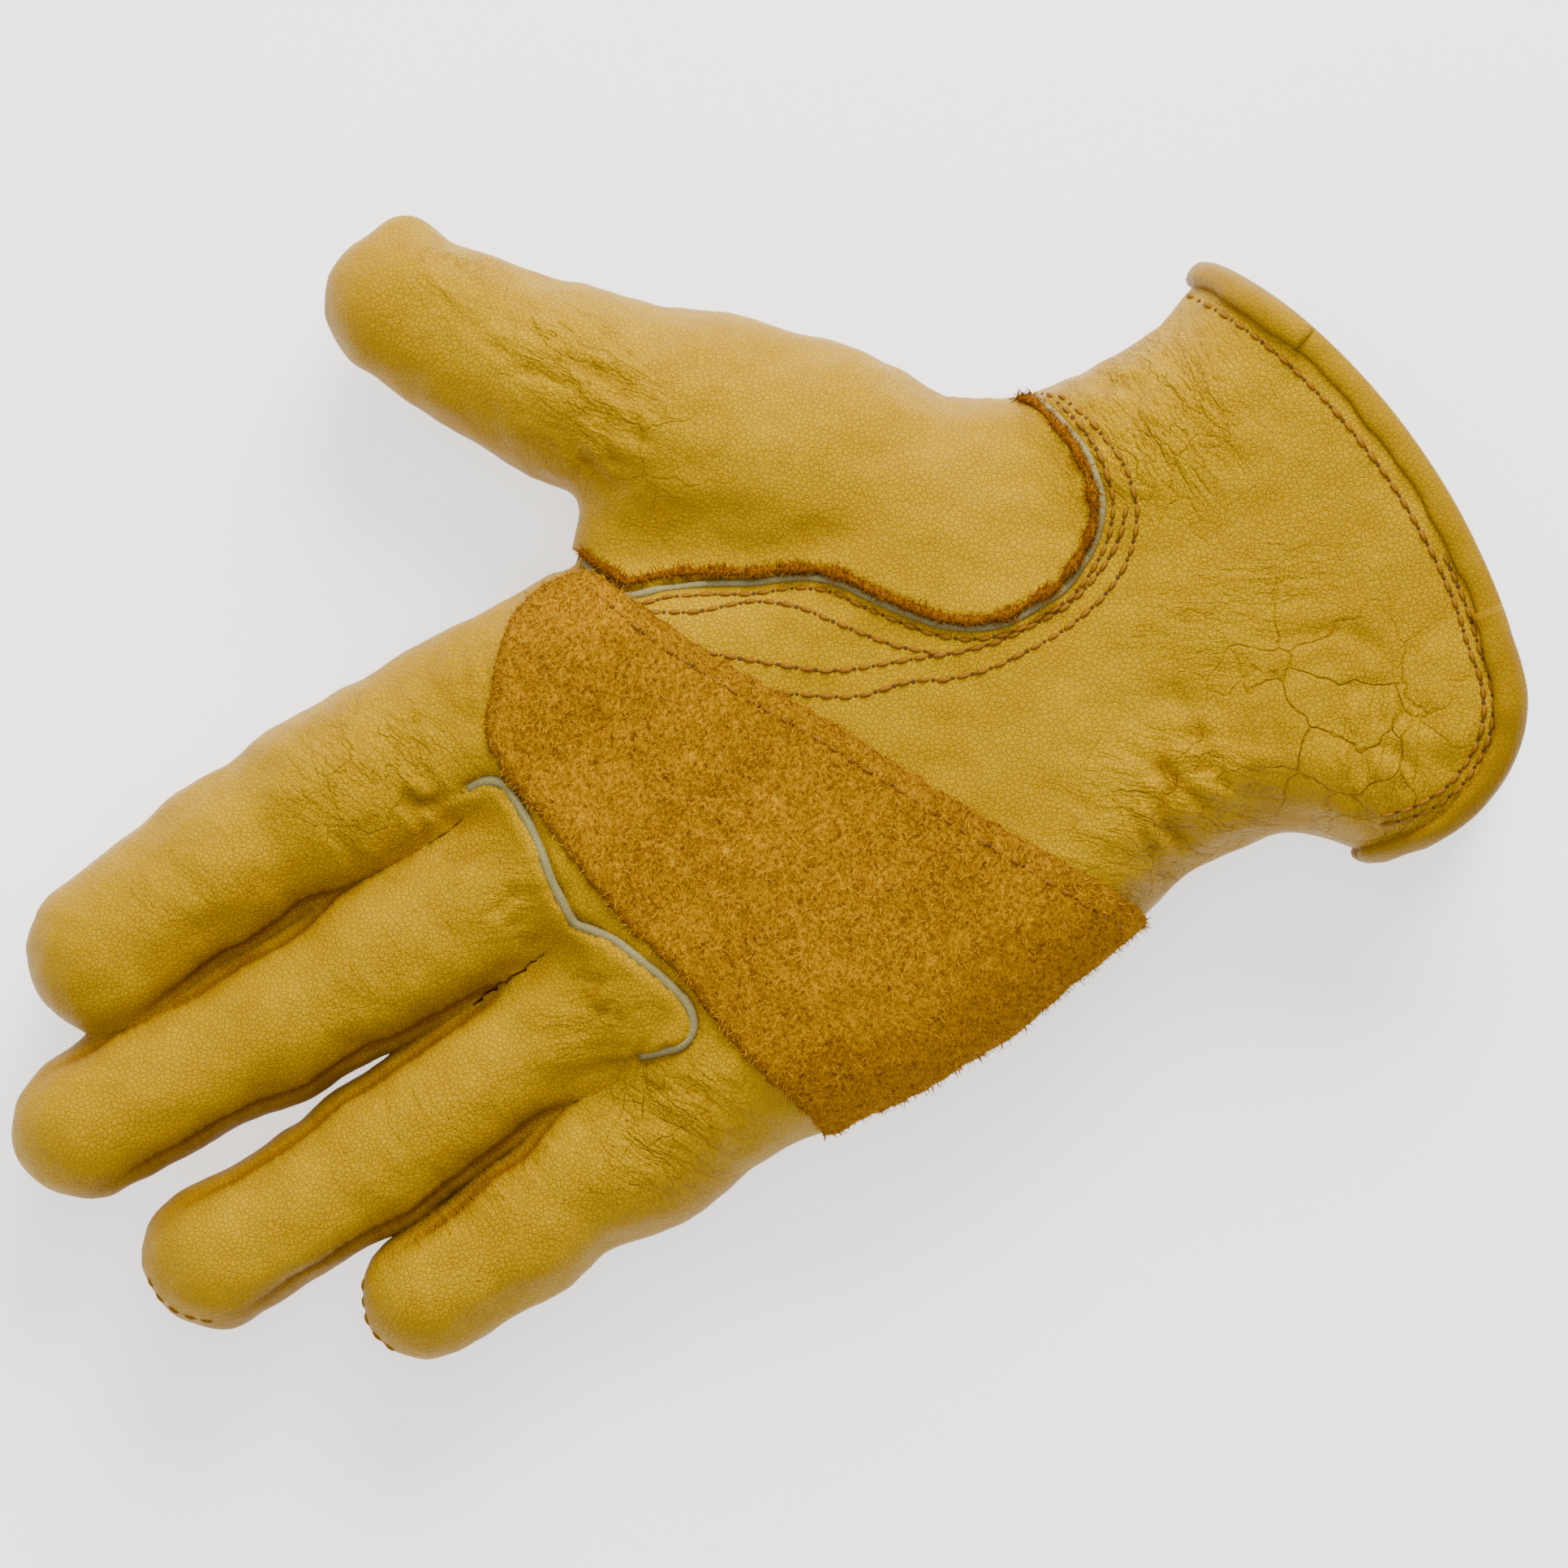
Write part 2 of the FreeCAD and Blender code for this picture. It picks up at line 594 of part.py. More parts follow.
doc.recompute()
os.makedirs("parts", exist_ok=True)
for thing in doc.Objects:
    if "Invalid" in thing.State or "Error" in thing.State:
        raise RuntimeError(f"{thing.Label} did not compute: {thing.State}")
for node, piece in pieces.items():
    shape = piece.Shape
    if shape.isNull() or not shape.isValid() or not shape.Solids:
        raise RuntimeError(f"{node} is not a sound solid")
    shape.exportStep(f"parts/{node}.step")
    print(node, len(shape.Solids), "solids", round(shape.Volume, 1), "mm3")
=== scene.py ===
import json
import math

import bmesh
import bpy
import numpy as np
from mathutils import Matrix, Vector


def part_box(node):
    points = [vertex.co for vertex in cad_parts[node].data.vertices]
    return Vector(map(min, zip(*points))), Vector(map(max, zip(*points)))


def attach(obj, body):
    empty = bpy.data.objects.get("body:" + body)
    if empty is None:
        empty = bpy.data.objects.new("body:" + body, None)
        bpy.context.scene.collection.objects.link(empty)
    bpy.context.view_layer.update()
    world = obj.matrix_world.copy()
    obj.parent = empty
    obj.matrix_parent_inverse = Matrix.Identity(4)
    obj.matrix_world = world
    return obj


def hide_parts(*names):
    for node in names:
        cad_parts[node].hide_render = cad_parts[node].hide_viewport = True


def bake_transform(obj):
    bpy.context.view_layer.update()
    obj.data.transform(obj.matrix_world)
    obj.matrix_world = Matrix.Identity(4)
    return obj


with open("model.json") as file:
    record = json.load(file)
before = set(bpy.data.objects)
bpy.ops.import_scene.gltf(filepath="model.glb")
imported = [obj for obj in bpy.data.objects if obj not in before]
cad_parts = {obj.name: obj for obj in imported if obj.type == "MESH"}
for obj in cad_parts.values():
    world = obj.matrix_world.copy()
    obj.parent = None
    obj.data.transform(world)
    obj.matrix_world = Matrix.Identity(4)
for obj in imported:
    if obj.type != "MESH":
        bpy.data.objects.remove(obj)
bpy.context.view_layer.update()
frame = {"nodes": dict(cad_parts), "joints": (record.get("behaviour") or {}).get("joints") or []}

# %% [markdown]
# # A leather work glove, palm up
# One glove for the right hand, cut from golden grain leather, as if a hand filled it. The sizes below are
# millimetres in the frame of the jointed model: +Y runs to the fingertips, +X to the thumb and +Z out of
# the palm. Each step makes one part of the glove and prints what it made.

import openvdb
from mathutils import Vector

MM = 0.001
LEATHER = 1.1  # thickness
THUMB_TURN = math.radians(53.3)  # from the fingers' direction
MIDDLE_HEIGHT = 17.5  # between the palm's side and the back's
JOINTS = {joint["name"]: joint for joint in frame["joints"]}


def curve_through(places, values):
    """A smooth curve through known values that never swings past them, as a function."""
    places, values = np.array(places, float), np.array(values, float)
    steps = np.diff(places)
    slopes = np.diff(values) / steps
    tangents = np.zeros(len(places))
    for i in range(1, len(places) - 1):
        if slopes[i - 1] * slopes[i] > 0:
            tangents[i] = 2 * slopes[i - 1] * slopes[i] / (slopes[i - 1] + slopes[i])

    def curve(at):
        at = np.clip(at, places[0], places[-1])
        i = np.clip(np.searchsorted(places, at, side="right") - 1, 0, len(steps) - 1)
        t = (at - places[i]) / steps[i]
        a, b = values[i], values[i + 1]
        return (a * (1 + 2 * t) * (1 - t) ** 2 + b * t * t * (3 - 2 * t)
                + steps[i] * (tangents[i] * t * (1 - t) ** 2 - tangents[i + 1] * t * t * (1 - t)))

    return curve


def ramp(value, start, end):
    """0 before start, 1 after end, smooth between."""
    t = np.clip((value - start) / (end - start), 0, 1)
    return t * t * (3 - 2 * t)


def melt(a, b, width):
    """Join two fields with a fillet of about the given width."""
    h = np.clip(0.5 + 0.5 * (b - a) / width, 0, 1)
    return b + (a - b) * h - width * h * (1 - h)


# %% [markdown]
# ## Camera and light
# The camera looks straight down on the palm from the side of a long lens, turned so that the fingers
# point to the lower left. A large soft light stands beyond the wrist, and weaker ones fill from the other
# sides.

# %% Camera
def look_down(centre, width, turn, distance):
    """A camera above a place, with +Y of the glove turned to an angle in the picture."""
    data = bpy.data.cameras.new("camera")
    camera = bpy.data.objects.new("camera", data)
    bpy.context.scene.collection.objects.link(camera)
    data.sensor_width = 36
    data.lens = 36 * distance / width
    camera.location = (centre[0] * MM, centre[1] * MM, (distance + 25) * MM)
    camera.rotation_euler = (0, 0, math.radians(90 - turn))
    data.clip_start, data.clip_end = 0.01, 20
    bpy.context.scene.camera = camera
    return camera


camera = look_down(centre=(-24.3, -10.8), width=247.3, turn=210, distance=1600)
print("camera height", round(camera.location.z, 3), "m, lens", round(camera.data.lens, 1), "mm")

# %% Floor and lights
def emitter(name, place, size, power, colour=(1, 1, 1)):
    """A square lamp that faces the middle of the glove."""
    data = bpy.data.lights.new(name, "AREA")
    data.shape, data.size, data.energy, data.color = "SQUARE", size, power, colour
    lamp = bpy.data.objects.new(name, data)
    bpy.context.scene.collection.objects.link(lamp)
    lamp.location = place
    lamp.rotation_euler = (Vector((0, 0, 0.02)) - Vector(place)).to_track_quat("-Z", "Y").to_euler()
    return lamp


def plain_material(name, colour, roughness=0.6):
    material = bpy.data.materials.new(name)
    material.use_nodes = True
    shader = material.node_tree.nodes["Principled BSDF"]
    shader.inputs["Base Color"].default_value = (*colour, 1)
    shader.inputs["Roughness"].default_value = roughness
    return material


floor_mesh = bpy.data.meshes.new("floor")
reach = 3.0
floor_mesh.from_pydata([(-reach, -reach, -0.0005), (reach, -reach, -0.0005), (reach, reach, -0.0005),
                        (-reach, reach, -0.0005)], [], [(0, 1, 2, 3)])
floor = bpy.data.objects.new("floor", floor_mesh)
bpy.context.scene.collection.objects.link(floor)
paper = plain_material("white_paper", (0.93, 0.93, 0.93), 0.9)
paper_shader = paper.node_tree.nodes["Principled BSDF"]
paper_shader.inputs["Emission Color"].default_value = (1, 1, 1, 1)
paper_shader.inputs["Emission Strength"].default_value = 1.1
floor_mesh.materials.append(paper)

# up and left as the camera sees them, as directions over the floor
up = Vector((math.cos(math.radians(90 - 210 + 90)), math.sin(math.radians(90 - 210 + 90)), 0))
left = Vector((-up.y, up.x, 0))
world = bpy.data.worlds.new("room")
bpy.context.scene.world = world
world.use_nodes = True
world.node_tree.nodes["Background"].inputs["Color"].default_value = (1, 1, 1, 1)
world.node_tree.nodes["Background"].inputs["Strength"].default_value = 0.27
emitter("window", up * 0.90 - left * 0.20 + Vector((0, 0, 0.70)), 0.7, 30)
emitter("overhead", up * 0.1 + Vector((0, 0, 1.2)), 0.8, 8)
emitter("fill", up * -0.6 + left * 0.5 + Vector((0, 0, 0.7)), 0.6, 2.5)
print("three lamps over a white floor")

# %% [markdown]
# ## The glove's form
# The form is a field: a rounded hand section that changes along the glove, and a chain of tapered round
# links for each digit, melted together. The fingers are spread a little while the skin is drawn over
# them, and set back side by side afterwards. Near the roots, and between the index and middle finger,
# they stay melted together, so the sides that face each other there have no skin.

# %% The hand's sections and the digits' links
LEVELS = [-135, -122, -108, -97, -86, -79, -72, -60, -48, -34, -20, -6, 6, 16, 26, 36, 46]
LITTLE_EDGE = curve_through(LEVELS, [-90, -88.5, -87.5, -86, -80.5, -73.0, -69.6, -68.3, -70.8, -73.9,
                                     -75.6, -75.9,
                                     -74.8, -72.4, -70.8, -72.0, -72.6])
THUMB_EDGE = curve_through(LEVELS, [17, 15.5, 11.2, 8.6, 8.0, 8.2, 9.0, 9.6, 9.0, 9.0, 12.0, 19.5, 23.0, 21.6,
                                    20.4, 20.6, 21.0])
UNDERSIDE = curve_through(LEVELS, [3, 3, 2.6, 2.2, 1.8, 1.4, 1.0, 0.4, 0.2, 0.1, 0.1, 0.1, 0.3, 0.8, 1.6,
                                   2.4, 3.2])
TOPSIDE = curve_through(LEVELS, [44, 43.5, 42, 40.8, 39.6, 38.8, 38.2, 38.2, 38.4, 37.6, 36.2, 35.0, 34.0,
                                 32.6,
                                 30.6, 28.2, 27.0])
# each link's end: x, y, height, radius
FINGERS = {
    "index": [(7.8, 18, 16.6, 12.6), (8.9, 38, 16.4, 13.0), (9.4, 55, 16.3, 13.7), (8.9, 72, 16.2, 13.3),
              (6.2, 95.6, 17.6, 12.6)],
    "middle": [(-15.6, 16, 16.6, 13.2), (-16.9, 38, 16.2, 12.6), (-16.7, 58, 16.1, 12.9),
               (-17.0, 79, 16.0, 12.2), (-15.6, 112.0, 17.6, 11.8)],
    "ring": [(-39.6, 14, 16.4, 12.8), (-40.8, 38, 15.8, 11.8), (-43.2, 75, 15.6, 11.5),
             (-44.2, 104.6, 17.0, 11.2)],
    "little": [(-60.8, 12, 16.2, 11.6), (-62.6, 33, 15.4, 11.0), (-63.6, 45, 15.3, 11.3),
               (-65.0, 60, 15.2, 10.9),
               (-66.2, 78.6, 16.4, 10.6)],
}
THUMB = [(2.5, -51.0, 20.5, 18.2), (17.2, -39.8, 19.6, 18.4), (30.8, -27.6, 18.6, 17.4),
         (47.6, -13.2, 18.0, 14.4),
         (59.4, -4.0, 18.0, 12.2), (72.4, 3.6, 19.0, 11.8)]
THUMB_LIP = [(72.4, 2.4, 19.0, 9.5), (78.6, -1.2, 19.0, 5.6)]
WEB = [(8.0, -22.0, 18.0, 13.0), (20.4, -8.6, 18.0, 8.2)]
SPREAD = {"index": 6.0, "middle": 2.0, "ring": -2.4, "little": -7.0}


def opened(y):
    """How far the fingers are spread at a level, 0 to 1."""
    return ramp(y, 26.0, 52.0)


def link(p, a, b):
    """Distance to a round link that tapers from one end to the other."""
    a, b = np.array(a, float), np.array(b, float)
    along = b[:3] - a[:3]
    t = np.clip(((p - a[:3]) @ along) / (along @ along), 0, 1)
    near = a[:3] + t[:, None] * along
    return np.linalg.norm(p - near, axis=1) - (a[3] + t * (b[3] - a[3]))


def chain(p, ends, width=3.0):
    field = link(p, ends[0], ends[1])
    for a, b in zip(ends[1:], ends[2:]):
        field = melt(field, link(p, a, b), width)
    return field


def spread_chain(name):
    """A finger's links, moved aside above the roots."""
    ends = []
    for (ax, ay, az, ar), (bx, by, bz, br) in zip(FINGERS[name], FINGERS[name][1:]):
        steps = 4 if by < 60 else 1
        for i in range(steps):
            t = i / steps
            ends.append((ax + (bx - ax) * t, ay + (by - ay) * t, az + (bz - az) * t, ar + (br - ar) * t))
    ends.append(FINGERS[name][-1])
    return [(x + SPREAD[name] * float(opened(np.array(y))), y, z, r) for x, y, z, r in ends]


SPREAD_CHAINS = {name: spread_chain(name) for name in FINGERS}


def hand_section(p):
    """The hand without its digits: a rounded box section at every level."""
    x, y, z = p.T
    low, high = LITTLE_EDGE(y), THUMB_EDGE(y)
    floor_z, roof_z = UNDERSIDE(y), TOPSIDE(y)
    half_x, half_z = (high - low) / 2, (roof_z - floor_z) / 2
    radius = half_z * 0.93
    qx = np.abs(x - (low + high) / 2) - (half_x - radius)
    qz = np.abs(z - (floor_z + roof_z) / 2) - (half_z - radius)
    outside = np.hypot(np.maximum(qx, 0), np.maximum(qz, 0))
    # the palm swells a little between its edges
    swell = 1.2 * np.clip(1 - ((x + 27) / 46) ** 2, 0, 1)
    side = outside + np.minimum(np.maximum(qx, qz), 0) - radius - swell * (z > 10)
    return -melt(-side, 31.0 - y, 8.0)


def glove_field(p):
    """Signed distance to the glove's skin, in millimetres, fingers spread."""
    field = hand_section(p)
    y = p[:, 1]
    for name, ends in SPREAD_CHAINS.items():
        near = y > ends[0][1] - 22
        digit = np.full(len(p), 60.0)
        digit[near] = chain(p[near], ends)
        field = melt(field, digit, 7.0)
    near = (p[:, 0] > -30) & (p[:, 1] > -85) & (p[:, 1] < 35)
    digit = np.full(len(p), 60.0)
    digit[near] = melt(chain(p[near], THUMB, 6.0), link(p[near], *THUMB_LIP), 2.0)
    field[near] = melt(field[near], link(p[near], *WEB), 4.0)
    return melt(field, digit, 7.0)


# %% Draw the skin over the form
STEP = 0.9
LOW = np.array([-96.0, -132.0, -6.0])
COUNT = np.array([int(n / STEP) for n in (190.0, 264.0, 60.0)])


def sampled(field):
    """The field on a regular lattice."""
    values = np.empty(COUNT, np.float32)
    ys, zs = np.meshgrid(np.arange(COUNT[1]), np.arange(COUNT[2]), indexing="ij")
    for i in range(COUNT[0]):
        p = np.stack([np.full(ys.size, i), ys.ravel(), zs.ravel()], axis=1) * STEP + LOW
        values[i] = field(p).reshape(ys.shape)
    return values


def skin_of(field):
    """Points and four-sided faces over the field's zero level."""
    grid = openvdb.FloatGrid()
    grid.copyFromArray(np.clip(sampled(field), -6, 6))
    points, quads = grid.convertToQuads(0.0)
    return points.astype(float) * STEP + LOW, quads.astype(int)


def slope(field, p, h=0.25):
    """The outward direction of a field at points."""
    out = np.empty_like(p)
    for axis in range(3):
        d = np.zeros(3)
        d[axis] = h
        out[:, axis] = field(p + d) - field(p - d)
    return out / np.maximum(np.linalg.norm(out, axis=1, keepdims=True), 1e-9)


def settle(field, p, times=2, depth=0.0):
    """Bring points onto the field's level."""
    for _ in range(times):
        p = p - (field(p) - depth)[:, None] * slope(field, p)
    return p


points, quads = skin_of(glove_field)
points = settle(glove_field, points)
normals = slope(glove_field, points)
print(len(points), "points and", len(quads), "faces in the skin")

# %% Set the fingers back side by side
NAMES = list(FINGERS)


def axis_at(chain_ends, y):
    """Where a chain's line passes a level."""
    levels = [end[1] for end in chain_ends]
    return np.interp(y, levels, [end[0] for end in chain_ends])


def set_back(p):
    """Points with the fingers closed up again, and which finger each point belongs to."""
    y = p[:, 1]
    axes = np.array([axis_at(SPREAD_CHAINS[name], y) for name in NAMES])
    finger = np.argmin(np.abs(axes - p[:, 0]), axis=0)
    # near the roots the shift passes smoothly from one finger to the next
    softness = 9.0 - 8.6 * ramp(y, 24.0, 37.0)
    nearness = -((axes - p[:, 0]) / softness) ** 2 * 0.5
    weights = np.exp(nearness - nearness.max(axis=0))
    weights /= weights.sum(axis=0)
    shift = (weights * np.array([SPREAD[name] for name in NAMES])[:, None]).sum(axis=0) * opened(y)
    closed = p.copy()
    closed[:, 0] -= shift
    return closed, finger


spread_points = points
points, finger_of = set_back(points)
AXIS = np.array([math.sin(THUMB_TURN), math.cos(THUMB_TURN), 0.0])
THUMB_HINGE = np.array(JOINTS["thumb_root_lift"]["pos_m"]) / MM
along_thumb = (points - THUMB_HINGE) @ AXIS
across_thumb = (points - THUMB_HINGE) @ np.array([AXIS[1], -AXIS[0], 0.0])
thumb_near = chain(spread_points, THUMB, 6.0) < hand_section(spread_points) + 1.0
on_thumb = thumb_near & (along_thumb > 4) & (across_thumb > -22)
on_finger = (points[:, 1] > 20) & ~on_thumb
print("points on each finger:", {name: int((on_finger & (finger_of == i)).sum()) for i,
                                 name in enumerate(NAMES)},
      "on the thumb:", int(on_thumb.sum()))

# %% [markdown]
# ## Folds, creases and seams in the leather
# Soft swells come from slow noise. Creases are short lines pressed into the skin, in families where a
# worn glove folds. The strips between the fingers leave a seam on both sides of each finger, with puckers
# along it. Creases, seams, the wrist's gathers and the sides of the fingers that face each other also get
# painted shade, darkening the leather's colour.

# %% Press the creases in
def noise_field(p, size, count=24, seed=1):
    """Smooth noise from waves in many directions, about -1 to 1."""
    r = np.random.default_rng(seed)
    total = np.zeros(len(p))
    for _ in range(count):
        direction = r.normal(size=3)
        direction /= np.linalg.norm(direction)
        total += np.sin(p @ direction * (2 * math.pi / (size * r.uniform(0.7, 1.5))) + r.uniform(0, 6.3))
    return total / math.sqrt(count)


def crease_family(start, end, count, length, turn, scatter, bend=0.15, seed=1):
    """Short bent lines placed between two ends, each near one direction."""
    r = np.random.default_rng(seed)
    lines = []
    for i in range(count):
        t = (i + 0.5) / count
        x = start[0] + (end[0] - start[0]) * t + r.normal(0, scatter)
        y = start[1] + (end[1] - start[1]) * t + r.normal(0, scatter)
        angle = math.radians(turn + r.normal(0, 10))
        size = length * r.uniform(0.6, 1.3)
        line, curl = [], r.normal(0, bend)
        for j in range(7):
            line.append((x, y))
            x += math.cos(angle) * size / 6
            y += math.sin(angle) * size / 6
            angle += curl + r.normal(0, 0.10)
        lines.append(line)
    return lines


def line_distance(p, line):
    """Distance in the plane to a drawn line, and how far along it, 0 to 1."""
    best, place = np.full(len(p), 99.0), np.zeros(len(p))
    for i, ((ax, ay), (bx, by)) in enumerate(zip(line, line[1:])):
        dx, dy = bx - ax, by - ay
        t = np.clip(((p[:, 0] - ax) * dx + (p[:, 1] - ay) * dy) / (dx * dx + dy * dy), 0, 1)
        gap = np.hypot(p[:, 0] - ax - t * dx, p[:, 1] - ay - t * dy)
        closer = gap < best
        best[closer], place[closer] = gap[closer], ((i + t) / (len(line) - 1))[closer]
    return best, place


# families: the lines, their depth and their width
CREASES = [
    (crease_family((2, 44), (16, 36), 9, 9, 200, 2.2, seed=2), 0.45, 0.9),  # root of the index finger
    (crease_family((8, 60), (16, 50), 4, 10, 185, 2.5, seed=3), 0.2, 1.2),
    (crease_family((-26, 34), (-10, 34), 8, 8, 90, 1.4, seed=4), 0.3, 0.9),  # above the piping
    (crease_family((-49, 27), (-36, 28), 7, 8, 80, 1.2, seed=5), 0.3, 0.9),
    (crease_family((-72, 24), (-58, 26), 6, 9, 20, 2.0, seed=6), 0.35, 1.0),
    (crease_family((-68, -56), (-58, -72), 9, 16, 20, 1.6, seed=7), 0.55, 1.1),  # fan at the wrist
    (crease_family((-66, -78), (-58, -100), 6, 22, -25, 3.4, 0.20, seed=8), 0.35, 1.3),
    (crease_family((-60, -84), (-46, -102), 4, 20, 60, 4.0, 0.2, seed=9), 0.3, 1.3),
    (crease_family((-76, -84), (-72, -104), 5, 13, 10, 2.0, 0.2, seed=10), 0.4, 1.1),
    (crease_family((-16, -84), (4, -92), 6, 15, 35, 3.0, seed=11), 0.4, 1.4),  # below the thumb
    (crease_family((40, -26), (46, -12), 6, 20, 36, 1.5, 0.05, seed=12), 0.4, 1.0),  # along the thumb
    (crease_family((26, -10), (32, -22), 5, 14, 20, 1.6, 0.1, seed=13), 0.4, 1.0),
    (crease_family((12, 8), (20, 22), 5, 9, 160, 1.5, seed=14), 0.3, 0.9),
]


def crease_depth(p):
    """How far the creases press in at points, for the side facing the palm."""
    depth = np.zeros(len(p))
    for lines, deep, width in CREASES:
        for line in lines:
            xs, ys = [q[0] for q in line], [q[1] for q in line]
            near = ((p[:, 0] > min(xs) - 4) & (p[:, 0] < max(xs) + 4) & (p[:, 1] > min(ys) - 4)
                    & (p[:, 1] < max(ys) + 4) & (p[:, 2] > 14))
            if not near.any():
                continue
            gap, place = line_distance(p[near], line)
            fade = np.clip(4 * place * (1 - place), 0, 1) ** 0.5
            groove = np.exp(-(gap / width) ** 2) - 0.35 * np.exp(-((gap - 2.0 * width) / width) ** 2)
            depth[near] += deep * fade * groove
    return depth


def strip_seams(p, finger, on):
    """The seams along both edges of the strips between the fingers, and the puckers beside them."""
    depth = np.zeros(len(p))
    for i, name in enumerate(NAMES):
        own = on & (finger == i)
        q = p[own]
        levels = [end[1] for end in FINGERS[name]]
        height = np.interp(q[:, 1], levels, [end[2] for end in FINGERS[name]])
        over = q[:, 2] - height
        tip = FINGERS[name][-1][1]
        strength = ramp(q[:, 1], 30, 42) * (1 - ramp(q[:, 1], tip - 12, tip + 7))
        if name == "index":
            strength = strength * (q[:, 0] < axis_at(FINGERS[name], q[:, 1]) + 4)
        if name == "little":
            strength = strength * (q[:, 0] > axis_at(FINGERS[name], q[:, 1]) - 4)
        pucker = 0.5 + 0.5 * np.sin(q[:, 1] * 2 * math.pi / 3.1 + 3 * np.sin(q[:, 1] * 0.7 + i))
        for seam in (6.2, -6.2):
            groove = np.exp(-((over - seam) / 0.8) ** 2)
            swell = np.exp(-((over - seam) / 2.6) ** 2)
            depth[own] += strength * (0.55 * groove + 0.22 * swell * pucker)
    return depth


def wrist_gathers(p):
    """The back of the wrist, drawn together in folds by the elastic inside it."""
    x, y, z = p.T
    on_back = ramp(-z, -17.0, -9.0) * ramp(x, -60, -50) * ramp(-x, 2, 12) * np.exp(-((y + 62) / 9.0) ** 2)
    folds = 0.5 + 0.5 * np.sin(x * 2 * math.pi / 4.2 + 0.8 * np.sin(y * 0.3) + np.sin(x * 0.31))
    return on_back * (0.5 + 1.5 * folds)


# where the thumb's leather is let into the palm, from the crotch round the ball of the thumb to the wrist
THUMB_SEAM = [(22.5, -1.5), (14.5, -4.6), (12.4, -10.6), (9.8, -16.6), (6.4, -22.6), (3.7, -28.6),
              (-0.3, -34.0),
              (-5.0, -37.3), (-9.6, -40.7), (-14.3, -44.7), (-17.7, -49.4), (-19.4, -55.4), (-19.4, -62.0),
              (-17.4, -68.0), (-13.7, -73.2), (-9.0, -75.9), (-2.3, -77.0), (4.4, -75.9), (8.4, -73.9),
              (11.4, -70.2)]
# the piping round the roots of the middle and ring fingers
FINGER_SEAM = [(-0.3, 32.9), (-0.5, 30.3), (-2.3, 27.8), (-7.6, 27.2), (-14.3, 27.6), (-21.0, 28.6),
               (-26.4, 28.6),
               (-29.0, 26.9), (-32.4, 24.5), (-37.0, 22.6), (-41.8, 20.9), (-47.0, 19.8), (-50.5, 20.9),
               (-51.8, 23.6), (-51.0, 27.6), (-50.2, 30.3)]


def rounded(path, step=1.0, closed=False):
    """A path drawn as an even, smooth line."""
    path = np.array(path, float)
    if closed:
        path = np.vstack([path[-2:], path, path[:2]])
    gaps = np.linalg.norm(np.diff(path, axis=0), axis=1)
    run = np.concatenate([[0], np.cumsum(gaps)])
    start, end = (run[2], run[-2]) if closed else (run[0], run[-1])
    at = np.linspace(start, end, max(int((end - start) / step), 4) + 1)
    return np.stack([curve_through(run, column)(at) for column in path.T], axis=1)


def signed_distance(p, path):
    """Distance in the plane to a path, positive on its left."""
    best, side = np.full(len(p), 1e9), np.ones(len(p))
    for (ax, ay), (bx, by) in zip(path[:, :2], path[1:, :2]):
        dx, dy = bx - ax, by - ay
        rx, ry = p[:, 0] - ax, p[:, 1] - ay
        t = np.clip((rx * dx + ry * dy) / (dx * dx + dy * dy), 0, 1)
        gap = np.hypot(rx - t * dx, ry - t * dy)
        closer = gap < best
        best[closer] = gap[closer]
        side[closer] = np.where((dx * ry - dy * rx)[closer] >= 0, 1, -1)
    return best * side


THUMB_LINE, FINGER_LINE = rounded(THUMB_SEAM), rounded(FINGER_SEAM)


def seam_relief(p):
    """The leather puffs up where it is let in, and dips into the seam."""
    rise = np.zeros(len(p))
    for line, puff, reach, dip, up in ((THUMB_LINE, 1.5, 5.0, 0.9, 1), (FINGER_LINE, 1.2, 4.0, 1.0, -1)):
        low, high = line.min(axis=0) - 14, line.max(axis=0) + 14
        near = ((p[:, :2] > low[:2]) & (p[:, :2] < high[:2])).all(axis=1) & (p[:, 2] > 15)
        if near.any():
            gap = signed_distance(p[near], line) * up
            rise[near] += np.where(gap > 0, puff * np.exp(-(np.abs(gap) / reach) ** 1.4),
                                   -0.25 * np.exp(-(gap / 3.0) ** 2))
            rise[near] -= dip * np.exp(-(gap / 0.9) ** 2)
    return rise


def relief(p):
    """How far the skin stands out from its form, and how much painted shade it gets in creases, gathers and
    seam dips.
    """
    pressed, gathers, seam = crease_depth(p), wrist_gathers(p), seam_relief(p)
    swell = (0.35 * noise_field(p, 26, seed=3) + 0.16 * noise_field(p, 9, seed=4)
             + 0.05 * noise_field(p, 4.0, seed=5))
    return swell + seam - pressed - gathers, 0.35 * pressed + 0.4 * gathers + 0.6 * np.maximum(-seam, 0)


# where fine wrinkles gather: centre, half-lengths, direction of the lines in degrees, strength
WRINKLES = [
    ((9.0, 44.0), (15.0, 19.0), 25.0, 0.75), ((14.0, 18.0), (9.0, 15.0), 75.0, 0.6),
    ((-17.0, 37.0), (11.0, 10.0), 80.0, 0.6), ((-42.0, 33.0), (10.0, 11.0), 70.0, 0.7),
    ((-61.0, 32.0), (14.0, 15.0), 35.0, 0.9), ((-56.0, 58.0), (5.5, 22.0), 10.0, 0.6),
    ((-61.0, -64.0), (16.0, 20.0), 55.0, 1.0), ((-62.0, -92.0), (22.0, 17.0), -30.0, 0.6),
    ((-38.0, -88.0), (20.0, 20.0), 70.0, 0.6), ((-4.0, -90.0), (22.0, 17.0), 15.0, 0.9),
    ((44.0, -15.0), (22.0, 12.0), 38.0, 0.85), ((24.0, -14.0), (10.0, 9.0), 60.0, 0.7),
    ((71.0, -7.0), (8.0, 7.0), 20.0, 0.8), ((-20.0, 60.0), (10.0, 22.0), 15.0, 0.35),
    ((-43.0, 66.0), (10.0, 22.0), 15.0, 0.35), ((9.0, 74.0), (12.0, 16.0), 20.0, 0.4),
]


